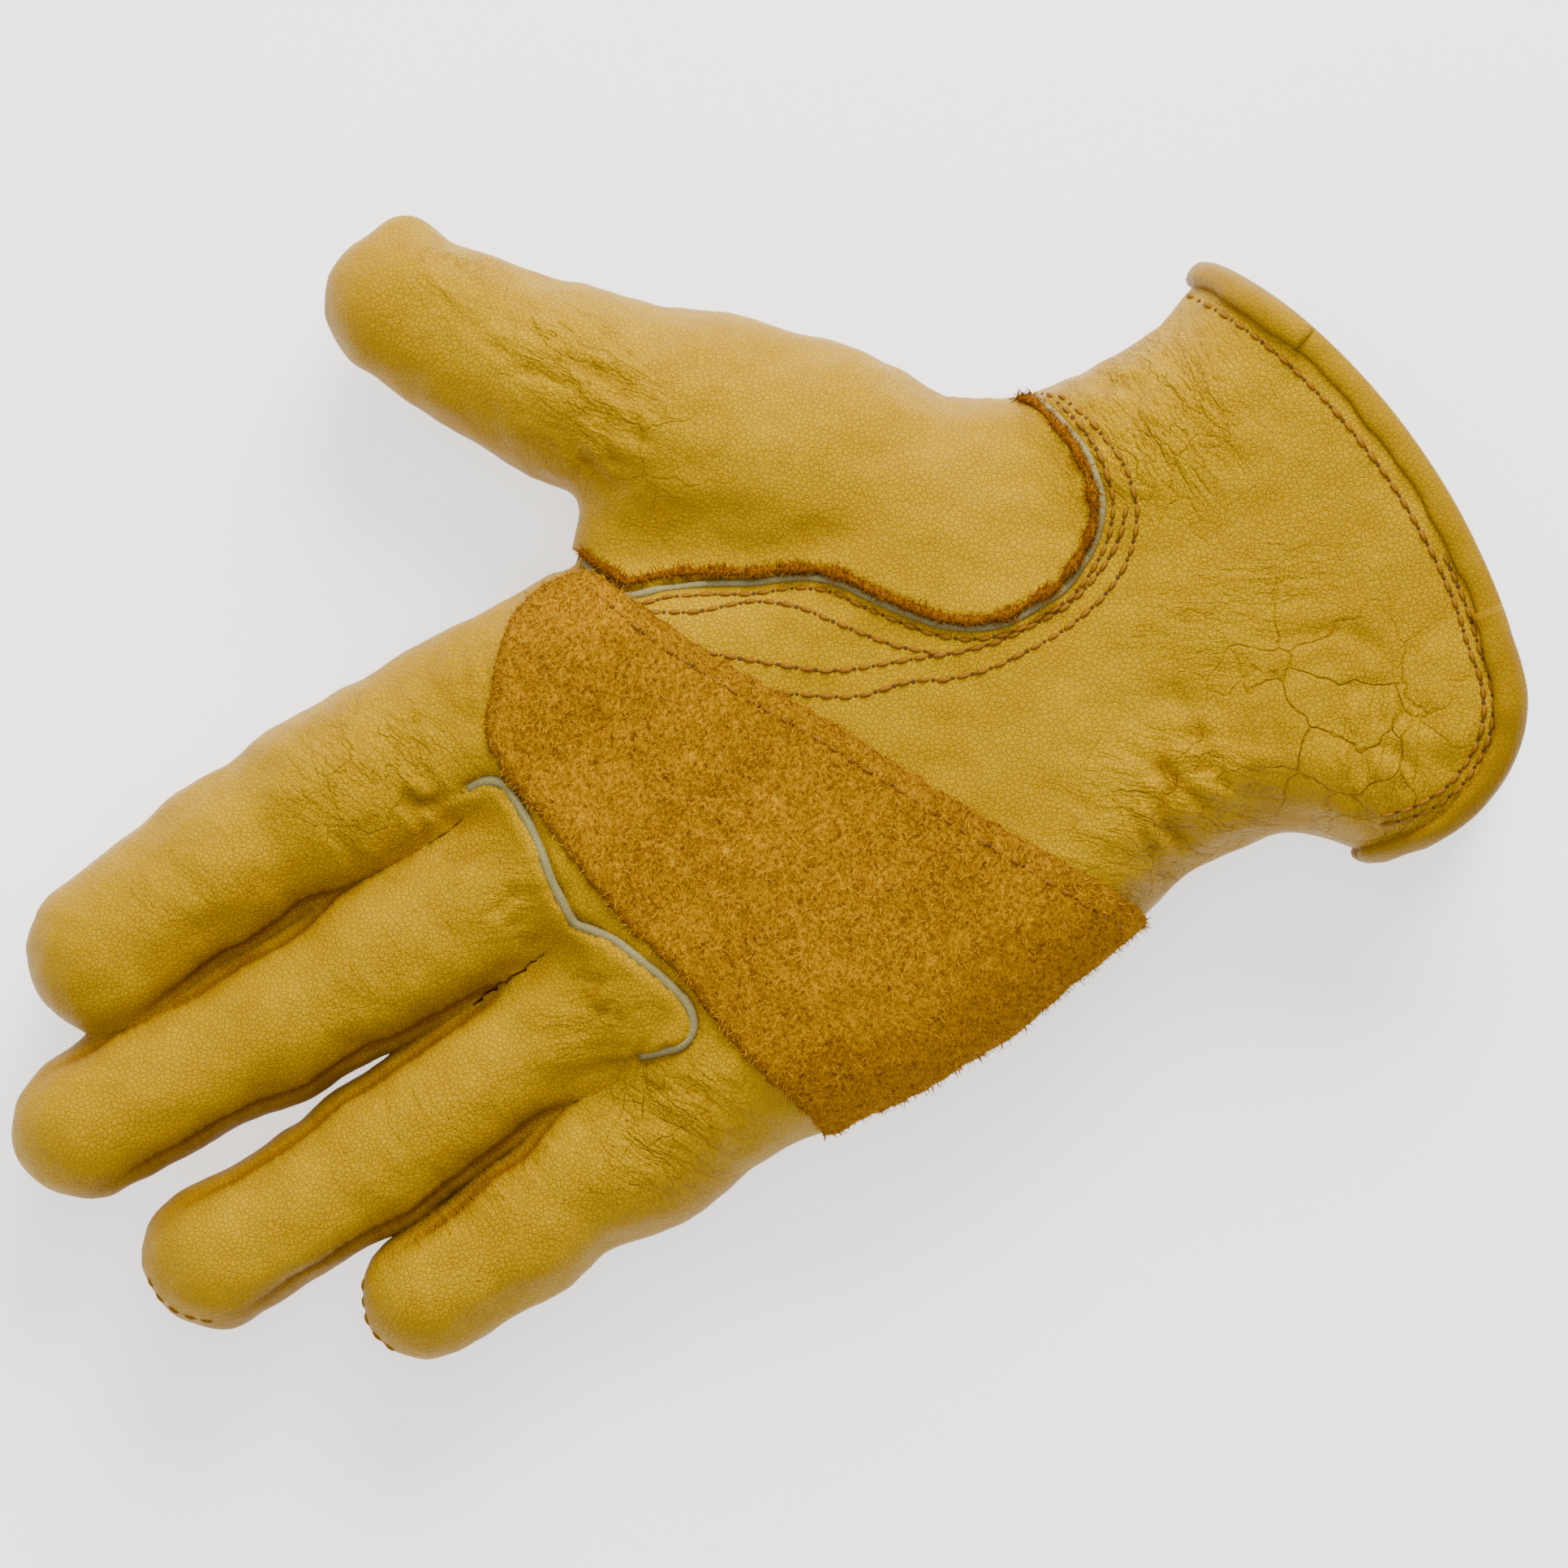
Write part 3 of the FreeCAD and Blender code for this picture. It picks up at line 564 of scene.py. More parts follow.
def wrinkle_lie(p):
    """How wrinkled the leather is, and a place measured along and across its wrinkles."""
    weights, lies = [], []
    for i, ((cx, cy), (rx, ry), turn, strength) in enumerate(WRINKLES):
        x, y = p[:, 0] - cx, p[:, 1] - cy
        weights.append(strength * np.exp(-((x / rx) ** 2 + (y / ry) ** 2) ** 1.3) * ramp(p[:, 2], 8, 16))
        c, s = math.cos(math.radians(turn)), math.sin(math.radians(turn))
        along, across = x * c + y * s, y * c - x * s
        lies.append(np.column_stack([along * 0.05, across * 0.20 + 0.03 * along, p[:, 2] * 0.06 + 9.0 * i]))
    weights = np.array(weights)
    order = np.argsort(weights, axis=0)
    best, every = order[-1], np.arange(len(p))
    # nothing shows where two families meet
    return weights[best, every] - weights[order[-2], every], np.array(lies)[best, every]


worn, lie = wrinkle_lie(points)
cracked = np.zeros(len(points))
for (cx, cy), (rx, ry), strength in (((-60, -90), (24, 18), 1.0), ((-58, -62), (16, 16), 0.6),
                                     ((10, 46), (14, 14), 0.45),
                                     ((-60, 32), (13, 12), 0.55), ((34, -18), (16, 12), 0.5),
                                     ((-8, -88), (18, 12), 0.5)):
    near = np.exp(-(((points[:, 0] - cx) / rx) ** 2 + ((points[:, 1] - cy) / ry) ** 2) ** 1.5)
    cracked = np.maximum(cracked, strength * near * ramp(points[:, 2], 10, 18))
seams = strip_seams(points, finger_of, on_finger)
stand_out, painted_shade = relief(points)
# painted shade: the seams and their puckers along the finger strips also darken the colour
painted_shade = painted_shade + seams
# painted shade on the sides of the fingers that face each other, where the gaps between them are dark; the
# outer sides of the index and little fingers get none
between_fingers = on_finger & (np.abs(normals[:, 0]) > 0.3) & (points[:, 1] > 30)
outer_side = ((finger_of == 0) & (normals[:, 0] > 0)) | ((finger_of == 3) & (normals[:, 0] < 0))
facing = ramp(np.abs(normals[:, 0]), 0.45, 0.98) * ramp(points[:, 1], 28, 45)
painted_shade = painted_shade + np.where(between_fingers & ~outer_side, 0.42 * facing, 0.0)
points = points + normals * (stand_out - seams)[:, None]
points[:, 2] = np.maximum(points[:, 2], 0.05)
print("deepest hollow", round(float(painted_shade.max()), 2), "mm")

# %% [markdown]
# ## Materials
# A small class stands for a value inside a material, so that sums and products of values can be written
# plainly.

# %% Values inside a material
class Value:
    """A socket with arithmetic. Every sum or product becomes a node."""

    def __init__(self, tree, socket):
        self.tree, self.socket = tree, socket

    def node(self, kind, settings=None, output=0, **inputs):
        """Any node: its settings first, then its inputs as links or plain values."""
        node = self.tree.nodes.new(kind)
        for key, setting in (settings or {}).items():
            setattr(node, key, setting)
        for key, given in inputs.items():
            name = key.replace("_", " ")
            socket = node.inputs[int(key[1:])] if key[0] == "i" and key[1:].isdigit() else node.inputs[name]
            if isinstance(given, Value):
                self.tree.links.new(given.socket, socket)
            else:
                socket.default_value = given
        return Value(self.tree, node.outputs[output])

    def maths(self, operation, first, second=0.0, clamp=False):
        return self.node("ShaderNodeMath", {"operation": operation, "use_clamp": clamp}, i0=first, i1=second)

    def __add__(self, other): return self.maths("ADD", self, other)
    def __sub__(self, other): return self.maths("SUBTRACT", self, other)
    def __mul__(self, other): return self.maths("MULTIPLY", self, other)
    def __radd__(self, other): return self.maths("ADD", other, self)
    def __rsub__(self, other): return self.maths("SUBTRACT", other, self)
    def __rmul__(self, other): return self.maths("MULTIPLY", other, self)
    def __pow__(self, other): return self.maths("POWER", self, other)

    def scaled(self, factor):
        """A vector made longer."""
        return self.node("ShaderNodeVectorMath", {"operation": "SCALE"}, i0=self, Scale=factor)

    def noise(self, per_mm, detail=2.0, roughness=0.5):
        return self.node("ShaderNodeTexNoise", Vector=self, Scale=per_mm, Detail=detail, Roughness=roughness)

    def cells(self, per_mm, feature="F1", output=0):
        return self.node("ShaderNodeTexVoronoi", {"feature": feature}, output, Vector=self, Scale=per_mm)

    def between(self, low, high):
        """0 at low, 1 at high, clamped."""
        return self.node("ShaderNodeMapRange", {"clamp": True}, Value=self, From_Min=low, From_Max=high)

    def tint(self, first, second):
        """A colour mixed from two by this value."""
        mixed = self.node("ShaderNodeMix", {"data_type": "RGBA"}, 2, i0=self)
        for index, colour in ((6, first), (7, second)):
            socket = mixed.socket.node.inputs[index]
            if isinstance(colour, Value):
                self.tree.links.new(colour.socket, socket)
            else:
                socket.default_value = (*colour, 1)
        return mixed


class Surface:
    """A new material with its shader, and positions in millimetres."""

    def __init__(self, name, **constants):
        self.material = bpy.data.materials.new(name)
        self.material.use_nodes = True
        tree = self.material.node_tree
        self.shader = tree.nodes["Principled BSDF"]
        where = tree.nodes.new("ShaderNodeTexCoord")
        self.place = Value(tree, where.outputs["Object"]).scaled(1000.0)
        for key, value in constants.items():
            self.shader.inputs[key.replace("_", " ")].default_value = value

    def attribute(self, name, output="Fac"):
        return self.place.node("ShaderNodeAttribute", {"attribute_name": name}, output)

    def set(self, **links):
        for key, value in links.items():
            value.tree.links.new(value.socket, self.shader.inputs[key.replace("_", " ")])
        return self.material

    def bumped(self, height, distance, strength=1.0):
        """A normal from a height in millimetres times a depth."""
        return self.place.node("ShaderNodeBump", Height=height, Distance=distance * MM, Strength=strength)


def grain_leather(name, light, deep, fold, grain=1.0, pores=0.0):
    """Golden grain leather: pebbles with fine creases between them, and painted shade towards the fold colour
    in creases, seams and between the fingers.
    """
    s = Surface(name, Coat_Weight=0.0, IOR=1.45, Specular_IOR_Level=0.22, Specular_Tint=(1.0, 0.66, 0.12, 1))
    p = s.place
    warp = p.node("ShaderNodeVectorMath", {"operation": "ADD"}, i0=p,
                  i1=p.node("ShaderNodeTexNoise", output="Color", Vector=p, Scale=0.35,
                            Detail=2.0).scaled(0.9))
    pebbles = warp.cells(1.25, "F1").between(0.0, 0.75)
    valleys = warp.cells(1.25, "DISTANCE_TO_EDGE").between(0.0, 0.10)
    fine = p.noise(3.2, 3.0, 0.65)
    broad = p.noise(0.045, 3.0, 0.55)
    blotch = p.noise(0.22, 3.0, 0.6)
    # painted shade from the skin's attribute: creases, seams, wrist gathers and the fingers' facing sides
    painted_shade = s.attribute("painted_shade").between(0.05, 0.9)
    tone = (broad * 0.7 + blotch * 0.45).between(0.40, 0.80)
    colour = tone.tint(light, deep)
    colour = (painted_shade * 0.75).tint(colour, fold)
    colour = ((1.0 - valleys) * 0.22).tint(colour, fold)
    # wrinkles: where a stretched noise crosses its middle value, and a net of cracks on worn leather
    worn, lie = s.attribute("worn"), s.attribute("lie", "Vector")
    bent = p.node("ShaderNodeVectorMath", {"operation": "ADD"}, i0=lie,
                  i1=p.node("ShaderNodeTexNoise", output="Color", Vector=p, Scale=0.10,
                            Detail=3.0).scaled(0.9))
    folds = bent.noise(1.0, 4.0, 0.62)
    worn = worn.between(0.02, 0.8)
    line = (1.0 - (folds - 0.5).maths("ABSOLUTE", folds - 0.5).between(0.0, 0.022)) * worn
    soft = folds * worn
    loose = p.node("ShaderNodeVectorMath", {"operation": "ADD"}, i0=p,
                   i1=p.node("ShaderNodeTexNoise", output="Color", Vector=p, Scale=0.09,
                             Detail=3.0).scaled(11.0))
    cracks = (1.0 - loose.cells(0.085, "DISTANCE_TO_EDGE").between(0.0, 0.028)) * s.attribute("cracked")
    colour = (line * 0.30).tint(colour, fold)
    colour = (cracks * 0.36).tint(colour, fold)
    height = valleys * 0.5 + (1.0 - pebbles) * 0.35 + fine * 0.4 - line * 1.2 + soft * 18.0 - cracks * 2.2
    if pores:
        pits = warp.cells(0.75, "F1").between(0.05, 0.22)
        height = height + pits * pores
        colour = ((1.0 - pits) * 0.35).tint(colour, fold)
    rough = 0.40 + blotch * 0.16 + painted_shade * 0.12 + (1.0 - valleys) * 0.08
    return s.set(Base_Color=colour, Roughness=rough, Normal=s.bumped(height, 0.15 * grain))


GOLD = (0.420, 0.240, 0.0)
AMBER = (0.345, 0.180, 0.0)
BROWN = (0.120, 0.034, 0.0)
leather = grain_leather("grain_leather", GOLD, AMBER, BROWN)
leather_pored = grain_leather("pored_leather", GOLD, AMBER, BROWN, 1.1, 0.6)
binding_leather = grain_leather("binding_leather", (0.30, 0.165, 0.0), (0.25, 0.125, 0.0), BROWN, 0.7)


def inside_leather():
    s = Surface("leather_inside")
    p = s.place
    nap = p.noise(1.6, 4.0, 0.7)
    return s.set(Base_Color=nap.between(0.3, 0.75).tint((0.20, 0.10, 0.02), (0.34, 0.20, 0.06)),
                 Roughness=0.9 + nap * 0.05, Normal=s.bumped(nap, 0.3))


def suede():
    """Rust suede: a short matt nap, brushed in patches."""
    s = Surface("suede", Specular_IOR_Level=0.1, Sheen_Weight=0.08, Sheen_Roughness=0.6,
                Sheen_Tint=(1.0, 0.45, 0.05, 1))
    p = s.place
    curls = p.noise(1.5, 5.0, 0.75)
    clumps = p.noise(0.55, 3.0, 0.6)
    brushed = p.noise(0.06, 3.0, 0.5)
    dark = (curls * 1.5 + clumps * 0.4 + brushed * 0.2).between(0.84, 1.26)
    edge = s.attribute("edge")
    colour = dark.tint((0.165, 0.055, 0.0), (0.580, 0.285, 0.0))
    # painted shade along the patch's raised edge, from the edge attribute
    colour = (edge * 0.6).tint(colour, (0.115, 0.036, 0.0))
    return s.set(Base_Color=colour, Roughness=0.93 + curls * 0.05,
                 Normal=s.bumped(curls + clumps * 0.7, 0.45))


def thread(name, colour, dark):
    s = Surface(name, Specular_IOR_Level=0.2)
    p = s.place
    ply = p.noise(4.0, 2.0, 0.6)
    return s.set(Base_Color=ply.between(0.3, 0.7).tint(dark, colour), Roughness=0.55 + ply * 0.2,
                 Normal=s.bumped(ply, 0.08))


def fuzz(name, colour, dark):
    s = Surface(name, Specular_IOR_Level=0.1)
    p = s.place
    nap = p.noise(2.2, 3.0, 0.7)
    return s.set(Base_Color=nap.between(0.3, 0.7).tint(dark, colour), Roughness=0.9 + nap * 0.08,
                 Normal=s.bumped(nap, 0.3))


inside = inside_leather()
suede_nap = suede()
suede_fibre = fuzz("suede_fibre", (0.62, 0.305, 0.0), (0.24, 0.085, 0.0))
raw_edge = fuzz("raw_leather_edge", (0.30, 0.110, 0.0), (0.11, 0.030, 0.0))
piping = thread("grey_piping", (0.30, 0.255, 0.10), (0.15, 0.118, 0.036))
ochre_thread = thread("ochre_thread", (0.27, 0.115, 0.0), (0.16, 0.060, 0.0))
# painted shade: a near-black brown for the beads laid in the needle holes
hole_shade = plain_material("hole_shade", (0.085, 0.028, 0.0), 0.95)
elastic_weave = thread("elastic_weave", (0.62, 0.59, 0.50), (0.45, 0.42, 0.34))
print(len(bpy.data.materials), "materials")

# %% [markdown]
# ## Cut the skin into pieces
# The skin is cut where it is still: below the fingers' bends, and halfway along each digit. The cuff is
# trimmed to its hem.

# %% Trim and split the skin
def hem_inside(p):
    """Distance inside the cuff's hem, seen from the palm."""
    x, y = p[:, 0], p[:, 1]
    wide = 109.0 - np.hypot(x + 38.0, y + 13.3)
    lobe = 22.6 - np.hypot(x + 60.0, y + 97.0)
    return np.maximum(y + 80.0, np.minimum(wide, np.maximum(lobe, x + 60.0)))


def pull_to(p, inside_of, distance=0.0):
    """Points moved across the plane onto an outline."""
    p = p.copy()
    for _ in range(3):
        h = 0.05
        gx = inside_of(p + [h, 0, 0]) - inside_of(p - [h, 0, 0])
        gy = inside_of(p + [0, h, 0]) - inside_of(p - [0, h, 0])
        size = np.maximum(np.hypot(gx, gy), 1e-9)
        move = np.clip(inside_of(p) - distance, -1.5, 1.5)
        p[:, 0] -= gx / size * move
        p[:, 1] -= gy / size * move
    return p


def edge_vertices(faces):
    """The edges that only one face uses, as pairs in that face's order."""
    pairs = np.concatenate([np.stack([faces[:, i], faces[:, (i + 1) % 4]], axis=1) for i in range(4)])
    keys = np.sort(pairs, axis=1)
    _, first, counts = np.unique(keys, axis=0, return_index=True, return_counts=True)
    return pairs[first[counts == 1]]


def make(name, vertices, faces, material, body=None, attributes=None, smooth=True):
    """A finished mesh from millimetres, on its body."""
    mesh = bpy.data.meshes.new(name)
    mesh.from_pydata((np.asarray(vertices) * MM).tolist(), [], [list(map(int, f)) for f in faces])
    mesh.polygons.foreach_set("use_smooth", [smooth] * len(mesh.polygons))
    for material_used in material if isinstance(material, (list, tuple)) else [material]:
        mesh.materials.append(material_used)
    for key, values in (attributes or {}).items():
        values = np.asarray(values, np.float32)
        kind, field = ("FLOAT", "value") if values.ndim == 1 else ("FLOAT_VECTOR", "vector")
        mesh.attributes.new(key, kind, "POINT").data.foreach_set(field, values.ravel())
    mesh.update()
    thing = bpy.data.objects.new(name, mesh)
    bpy.context.scene.collection.objects.link(thing)
    if body:
        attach(thing, body)
    return thing


def vertex_normals(vertices, faces):
    """Area-weighted normals of a mesh of four-sided faces."""
    a, b, c, d = (vertices[faces[:, i]] for i in range(4))
    across = np.cross(c - a, d - b)
    total = np.zeros_like(vertices)
    for i in range(4):
        np.add.at(total, faces[:, i], across)
    return total / np.maximum(np.linalg.norm(total, axis=1, keepdims=True), 1e-12)


held = hem_inside(points)
quads = quads[(held[quads] > -0.6 * STEP).all(axis=1)]
rim = np.unique(edge_vertices(quads))
points[rim] = pull_to(points[rim], hem_inside)
skin_normals = vertex_normals(points, quads)

middle = points[quads].mean(axis=1)
face_finger = finger_of[quads[:, 0]]
face_thumb = on_thumb[quads].all(axis=1)
label = np.zeros(len(quads), int)
PIECES = ["palm"]
for i, name in enumerate(NAMES):
    root = JOINTS[f"{name}_knuckle"]["pos_m"][1] / MM - 6.0
    bend = JOINTS[f"{name}_middle_bend"]["pos_m"][1] / MM
    half = root + (bend - root) * 0.60
    mine = (face_finger == i) & ~face_thumb & (middle[:, 1] > root)
    label[mine] = len(PIECES)
    label[mine & (middle[:, 1] > half)] = len(PIECES) + 1
    PIECES += [f"{name}_lower", f"{name}_upper"]
thumb_run = (middle - THUMB_HINGE) @ AXIS
label[face_thumb & (thumb_run > 7)] = len(PIECES)
label[face_thumb & (thumb_run > 30)] = len(PIECES) + 1
PIECES += ["thumb_lower", "thumb_upper"]


def skin_piece(number, name):
    """One part of the skin, shaded as if it were still whole."""
    faces = quads[label == number]
    used, local = np.unique(faces, return_inverse=True)
    faces = local.reshape(faces.shape)
    vertices, shades = points[used], skin_normals[used]
    attributes = {"painted_shade": painted_shade[used], "worn": worn[used], "lie": lie[used], "cracked": cracked[used]}
    materials = [leather_pored if name.startswith("little") else leather, inside]
    count, marks = len(faces), None
    if name == "palm":
        # the inner side of the leather, joined to the outer side round the hem
        edge = edge_vertices(faces)
        edge = edge[(hem_inside(vertices[edge[:, 0]]) < 0.5) & (hem_inside(vertices[edge[:, 1]]) < 0.5)]
        total = len(vertices)
        seen_inside = faces[(vertices[faces][:, :, 1] < -52).all(axis=1)]
        faces = np.vstack([faces, seen_inside[:, ::-1] + total, np.stack(
            [edge[:, 1], edge[:, 0], edge[:, 0] + total, edge[:, 1] + total], axis=1)])
        vertices = np.vstack([vertices, vertices - shades * LEATHER])
        attributes = {key: np.concatenate([values, values]) for key, values in attributes.items()}
        shades = np.vstack([shades, -shades])
    kept, faces = np.unique(faces, return_inverse=True)
    faces, vertices, shades = faces.reshape(-1, 4), vertices[kept], shades[kept]
    piece = make(f"{name}_skin", vertices, faces, materials,
                 attributes={key: values[kept] for key, values in attributes.items()})
    marks = np.zeros(len(faces), np.int32)
    marks[count:] = 1
    piece.data.polygons.foreach_set("material_index", marks)
    piece.data.normals_split_custom_set_from_vertices(shades.tolist())
    return piece


SKINS = {name: skin_piece(number, name) for number, name in enumerate(PIECES)}
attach(SKINS["palm"], "palm")
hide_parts("palm_panel", "back_panel")


def bend_between(piece, joint, before, after, direction):
    """Bakes the piece's placement into its mesh; the places `before` and `after` millimetres from the hinge
    along `direction` are worked out but not used.
    """
    hinge = Vector(JOINTS[joint]["pos_m"])
    direction = Vector(direction)
    tuple(hinge + direction * before * MM)
    tuple(hinge + direction * after * MM)
    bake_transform(piece)


for name in NAMES + ["thumb"]:
    direction = tuple(AXIS) if name == "thumb" else (0, 1, 0)
    first = "thumb_root_lift" if name == "thumb" else f"{name}_knuckle"
    before, after = (8, 30) if name == "thumb" else (-5, 13)
    bend_between(SKINS[f"{name}_lower"], first, before, after, direction)
    before, after = (-2, 13) if name == "thumb" else (-10, 10)
    bend_between(SKINS[f"{name}_upper"], f"{name}_middle_bend", before,
                 after,
                 direction)
    for part in ("lower", "upper"):
        nodes = [node for node in frame["nodes"] if node.startswith(f"{name}_{part}_")]
        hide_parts(*nodes)
print({name: len(piece.data.polygons) for name, piece in SKINS.items()})

# %% [markdown]
# ## What is sewn onto the skin
# Everything on the palm is placed by dropping points onto the skin from above, or from below for the
# back.

# %% Points on the skin
def onto_skin(places, side=1.0, finger=None):
    """Points on the finished skin over places in the plane, and the skin's directions there."""
    places = np.array(places, float)[:, :2]
    shift = SPREAD[finger] * opened(places[:, 1]) if finger else 0.0
    places[:, 0] += shift
    low = np.full(len(places), MIDDLE_HEIGHT)
    high = np.full(len(places), 56.0 if side > 0 else -6.0)
    for _ in range(22):
        half = (low + high) / 2
        outside = glove_field(np.column_stack([places, half])) > 0
        high = np.where(outside, half, high)
        low = np.where(outside, low, half)
    p = np.column_stack([places, (low + high) / 2])
    n = slope(glove_field, p)
    p[:, 0] -= shift
    return p + n * relief(p)[0][:, None], n


def directions(path):
    t = np.gradient(path, axis=0)
    return t / np.maximum(np.linalg.norm(t, axis=1, keepdims=True), 1e-9)


def point_outwards(thing):
    """Faces turned outwards, smooth along the strip and flat at its ends."""
    bm = bmesh.new()
    bm.from_mesh(thing.data)
    bmesh.ops.recalc_face_normals(bm, faces=bm.faces)
    for face in bm.faces:
        face.smooth = len(face.verts) < 5
    bm.to_mesh(thing.data)
    bm.free()


def sweep(name, path, normals_up, outline, material, wobble=0.0, seed=1):
    """A solid strip: an outline of (aside, up) points carried along a path."""
    r = np.random.default_rng(seed)
    tangent = directions(path)
    aside = np.cross(normals_up, tangent)
    aside /= np.maximum(np.linalg.norm(aside, axis=1, keepdims=True), 1e-9)
    up = np.cross(tangent, aside)
    size = len(outline)
    vertices = []
    waves = [(r.uniform(0.15, 1.1), r.uniform(0, 6.3)) for _ in range(5)]
    for i in range(len(path)):
        grow = 1 + wobble * sum(math.sin(w * i + f) for w, f in waves) / 2
        vertices += [path[i] + aside[i] * a * grow + up[i] * b * grow for a, b in outline]
    faces = []
    for i, j in zip(range(len(path)), range(1, len(path))):
        faces += [(i * size + k, i * size + (k + 1) % size, j * size + (k + 1) % size, j * size + k)
                  for k in range(size)]
    vertices = np.array(vertices)
    faces = [tuple(f) for f in faces]
    faces += [tuple(range(size))[::-1], tuple((len(path) - 1) * size + k for k in range(size))]
    thing = make(name, vertices, faces, material)
    point_outwards(thing)
    return thing


def ring(radius_a, radius_b, count=8, lift=0.0):
    return [(radius_a * math.cos(2 * math.pi * k / count),
             lift + radius_b * math.sin(2 * math.pi * k / count))
            for k in range(count)]


def draped(name, path, outline, material, body="palm", wobble=0.0, seed=1):
    """A strip along the part of a line that lies on the palm's side of the skin."""
    p, n = onto_skin(path)
    lies = (p[:, 2] > 21.5) & (n[:, 2] > 0.25)
    p, n = p[lies], n[lies]
    thing = sweep(name, p, n, outline, material, wobble=wobble, seed=seed)
    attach(thing, body)
    return thing


# %% Piping and the raw edge of the thumb's leather
def beside(path, distance):
    """A line drawn a distance to the left of another."""
    t = directions(np.asarray(path)[:, :2])
    return np.asarray(path)[:, :2] + np.column_stack([-t[:, 1], t[:, 0]]) * distance


thumb_piping = draped("thumb_piping", beside(THUMB_LINE, -0.65), ring(0.65, 0.6, 8, 0.4), piping, wobble=0.08)
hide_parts("thumb_welt")
finger_piping = draped("finger_piping", FINGER_LINE, ring(0.85, 0.85, 12, 0.8), piping, wobble=0.03)
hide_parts("finger_welt")
thumb_edge = draped("thumb_raw_edge", beside(THUMB_LINE, 0.55), ring(0.65, 0.45, 8, 0.55), raw_edge,
                    wobble=0.28,
                    seed=4)
print("piping along", len(THUMB_LINE), "and", len(FINGER_LINE), "millimetres")

# %% The suede patch
PATCH = np.array([(-82.0, -53.0), (-69.9, -49.4), (-41.0, -33.3), (-19.7, -22.0), (-0.9, -11.2), (11.1, -5.2),
                  (18.6, -2.2), (20.8, 1.5), (21.2, 6.0), (20.4, 11.5), (17.8, 15.5), (11.1, 21.6),
                  (7.8, 24.9),
                  (3.0, 26.4), (-0.9, 26.5), (-9.0, 24.9), (-19.7, 23.6), (-30.4, 22.0), (-37.0, 19.8),
                  (-46.0, 17.6), (-50.5, 17.2), (-59.8, 15.5), (-67.9, 12.9), (-74.6, 11.1), (-84.0, 9.0)])
PATCH_LINE = np.vstack([rounded(PATCH, 1.0), PATCH[:1]])


def patch_inside(p):
    """Distance inside the patch's outline, a little uneven along the cut edge."""
    uneven = 0.35 * np.sin(p[:, 0] * 1.1 + p[:, 1] * 0.6) + 0.25 * np.sin(p[:, 0] * 2.7 - p[:, 1] * 1.9)
    return signed_distance(p, PATCH_LINE) + uneven * 0.5


palm_faces = quads[label == 0]
held = patch_inside(points)
chosen = palm_faces[((held[palm_faces] > -0.6 * STEP) & (points[palm_faces][:, :, 2] > 16.0)).all(axis=1)]
used, local = np.unique(chosen, return_inverse=True)
faces = local.reshape(chosen.shape)
below, up_there = points[used].copy(), skin_normals[used]
border = edge_vertices(faces)
rim = np.unique(border)
high_rim = rim[below[rim, 2] > 20]
below[high_rim] = pull_to(below[high_rim], patch_inside)
inward = np.clip(patch_inside(below), 0, 6)
nap = 0.16 * noise_field(below, 2.6, 30, 21) + 0.10 * noise_field(below, 1.5, 30, 22)
top = below + up_there * (0.55 + 0.65 * ramp(inward, -0.5, 1.6) + nap * ramp(inward, 0, 1.0))[:, None]
count = len(below)
vertices = np.vstack([top, below - up_there * 0.1])
faces = np.vstack([faces, faces[:, ::-1] + count, np.stack(
    [border[:, 1], border[:, 0], border[:, 0] + count, border[:, 1] + count], axis=1)])
# painted shade along the patch's border, stored as its edge attribute
edge_shade = np.exp(-(inward / 1.3) ** 2)
palm_patch = make("suede_patch", vertices, faces, suede_nap, "palm", {"edge": np.tile(edge_shade, 2)})
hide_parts("palm_patch")
print("the patch has", len(faces), "faces")

# %% [markdown]
# ## The cuff's binding
# The hem's line is taken from the trimmed skin, smoothed, and a rolled strip of leather is carried round
# it in three lengths. The length on the thumb's side ends in a cut edge that laps over its neighbour.

# %% Roll the binding over the hem
def ordered_loop(pairs):
    """One closed line from loose edges: the longest."""
    after = {int(a): int(b) for a, b in pairs}
    best = []
    while after:
        start = next(iter(after))
        line, at = [start], after.pop(start)
        while at != start and at in after:
            line.append(at)
            at = after.pop(at)
        if len(line) > len(best):
            best = line
    return best


open_edge = edge_vertices(quads)
loop = ordered_loop(open_edge)
line = points[loop]
for _ in range(6):
    line = (np.roll(line, 1, axis=0) + 2 * line + np.roll(line, -1, axis=0)) / 4
hem_line = rounded(line[::2], 1.2, closed=True)[:-1]
form_normal = slope(glove_field, settle(glove_field, hem_line, 1))
across = np.cross(form_normal, directions(hem_line))
across /= np.linalg.norm(across, axis=1, keepdims=True)
if (hem_inside(hem_line + across) - hem_inside(hem_line)).mean() < 0:
    across = -across
print("the hem is", round(float(np.linalg.norm(np.diff(hem_line, axis=0), axis=1).sum())), "mm round")


def binding_profile(width, height):
    """(into the cuff, up) points of the rolled strip, over the edge and back inside."""
    over = [(width, 0.0), (width + 0.12, height * 0.45), (width - 0.25, height * 0.82),
            (width * 0.72, height),
            (width * 0.45, height * 1.04), (width * 0.2, height * 0.95), (0.0, height * 0.62),
            (-0.75, height * 0.1)]
    under = [(-1.0, -0.55), (-0.8, -1.2), (-0.2, -1.9), (width * 0.35, -2.15), (width * 0.9, -2.05),
             (width, -1.1)]
    return over + under


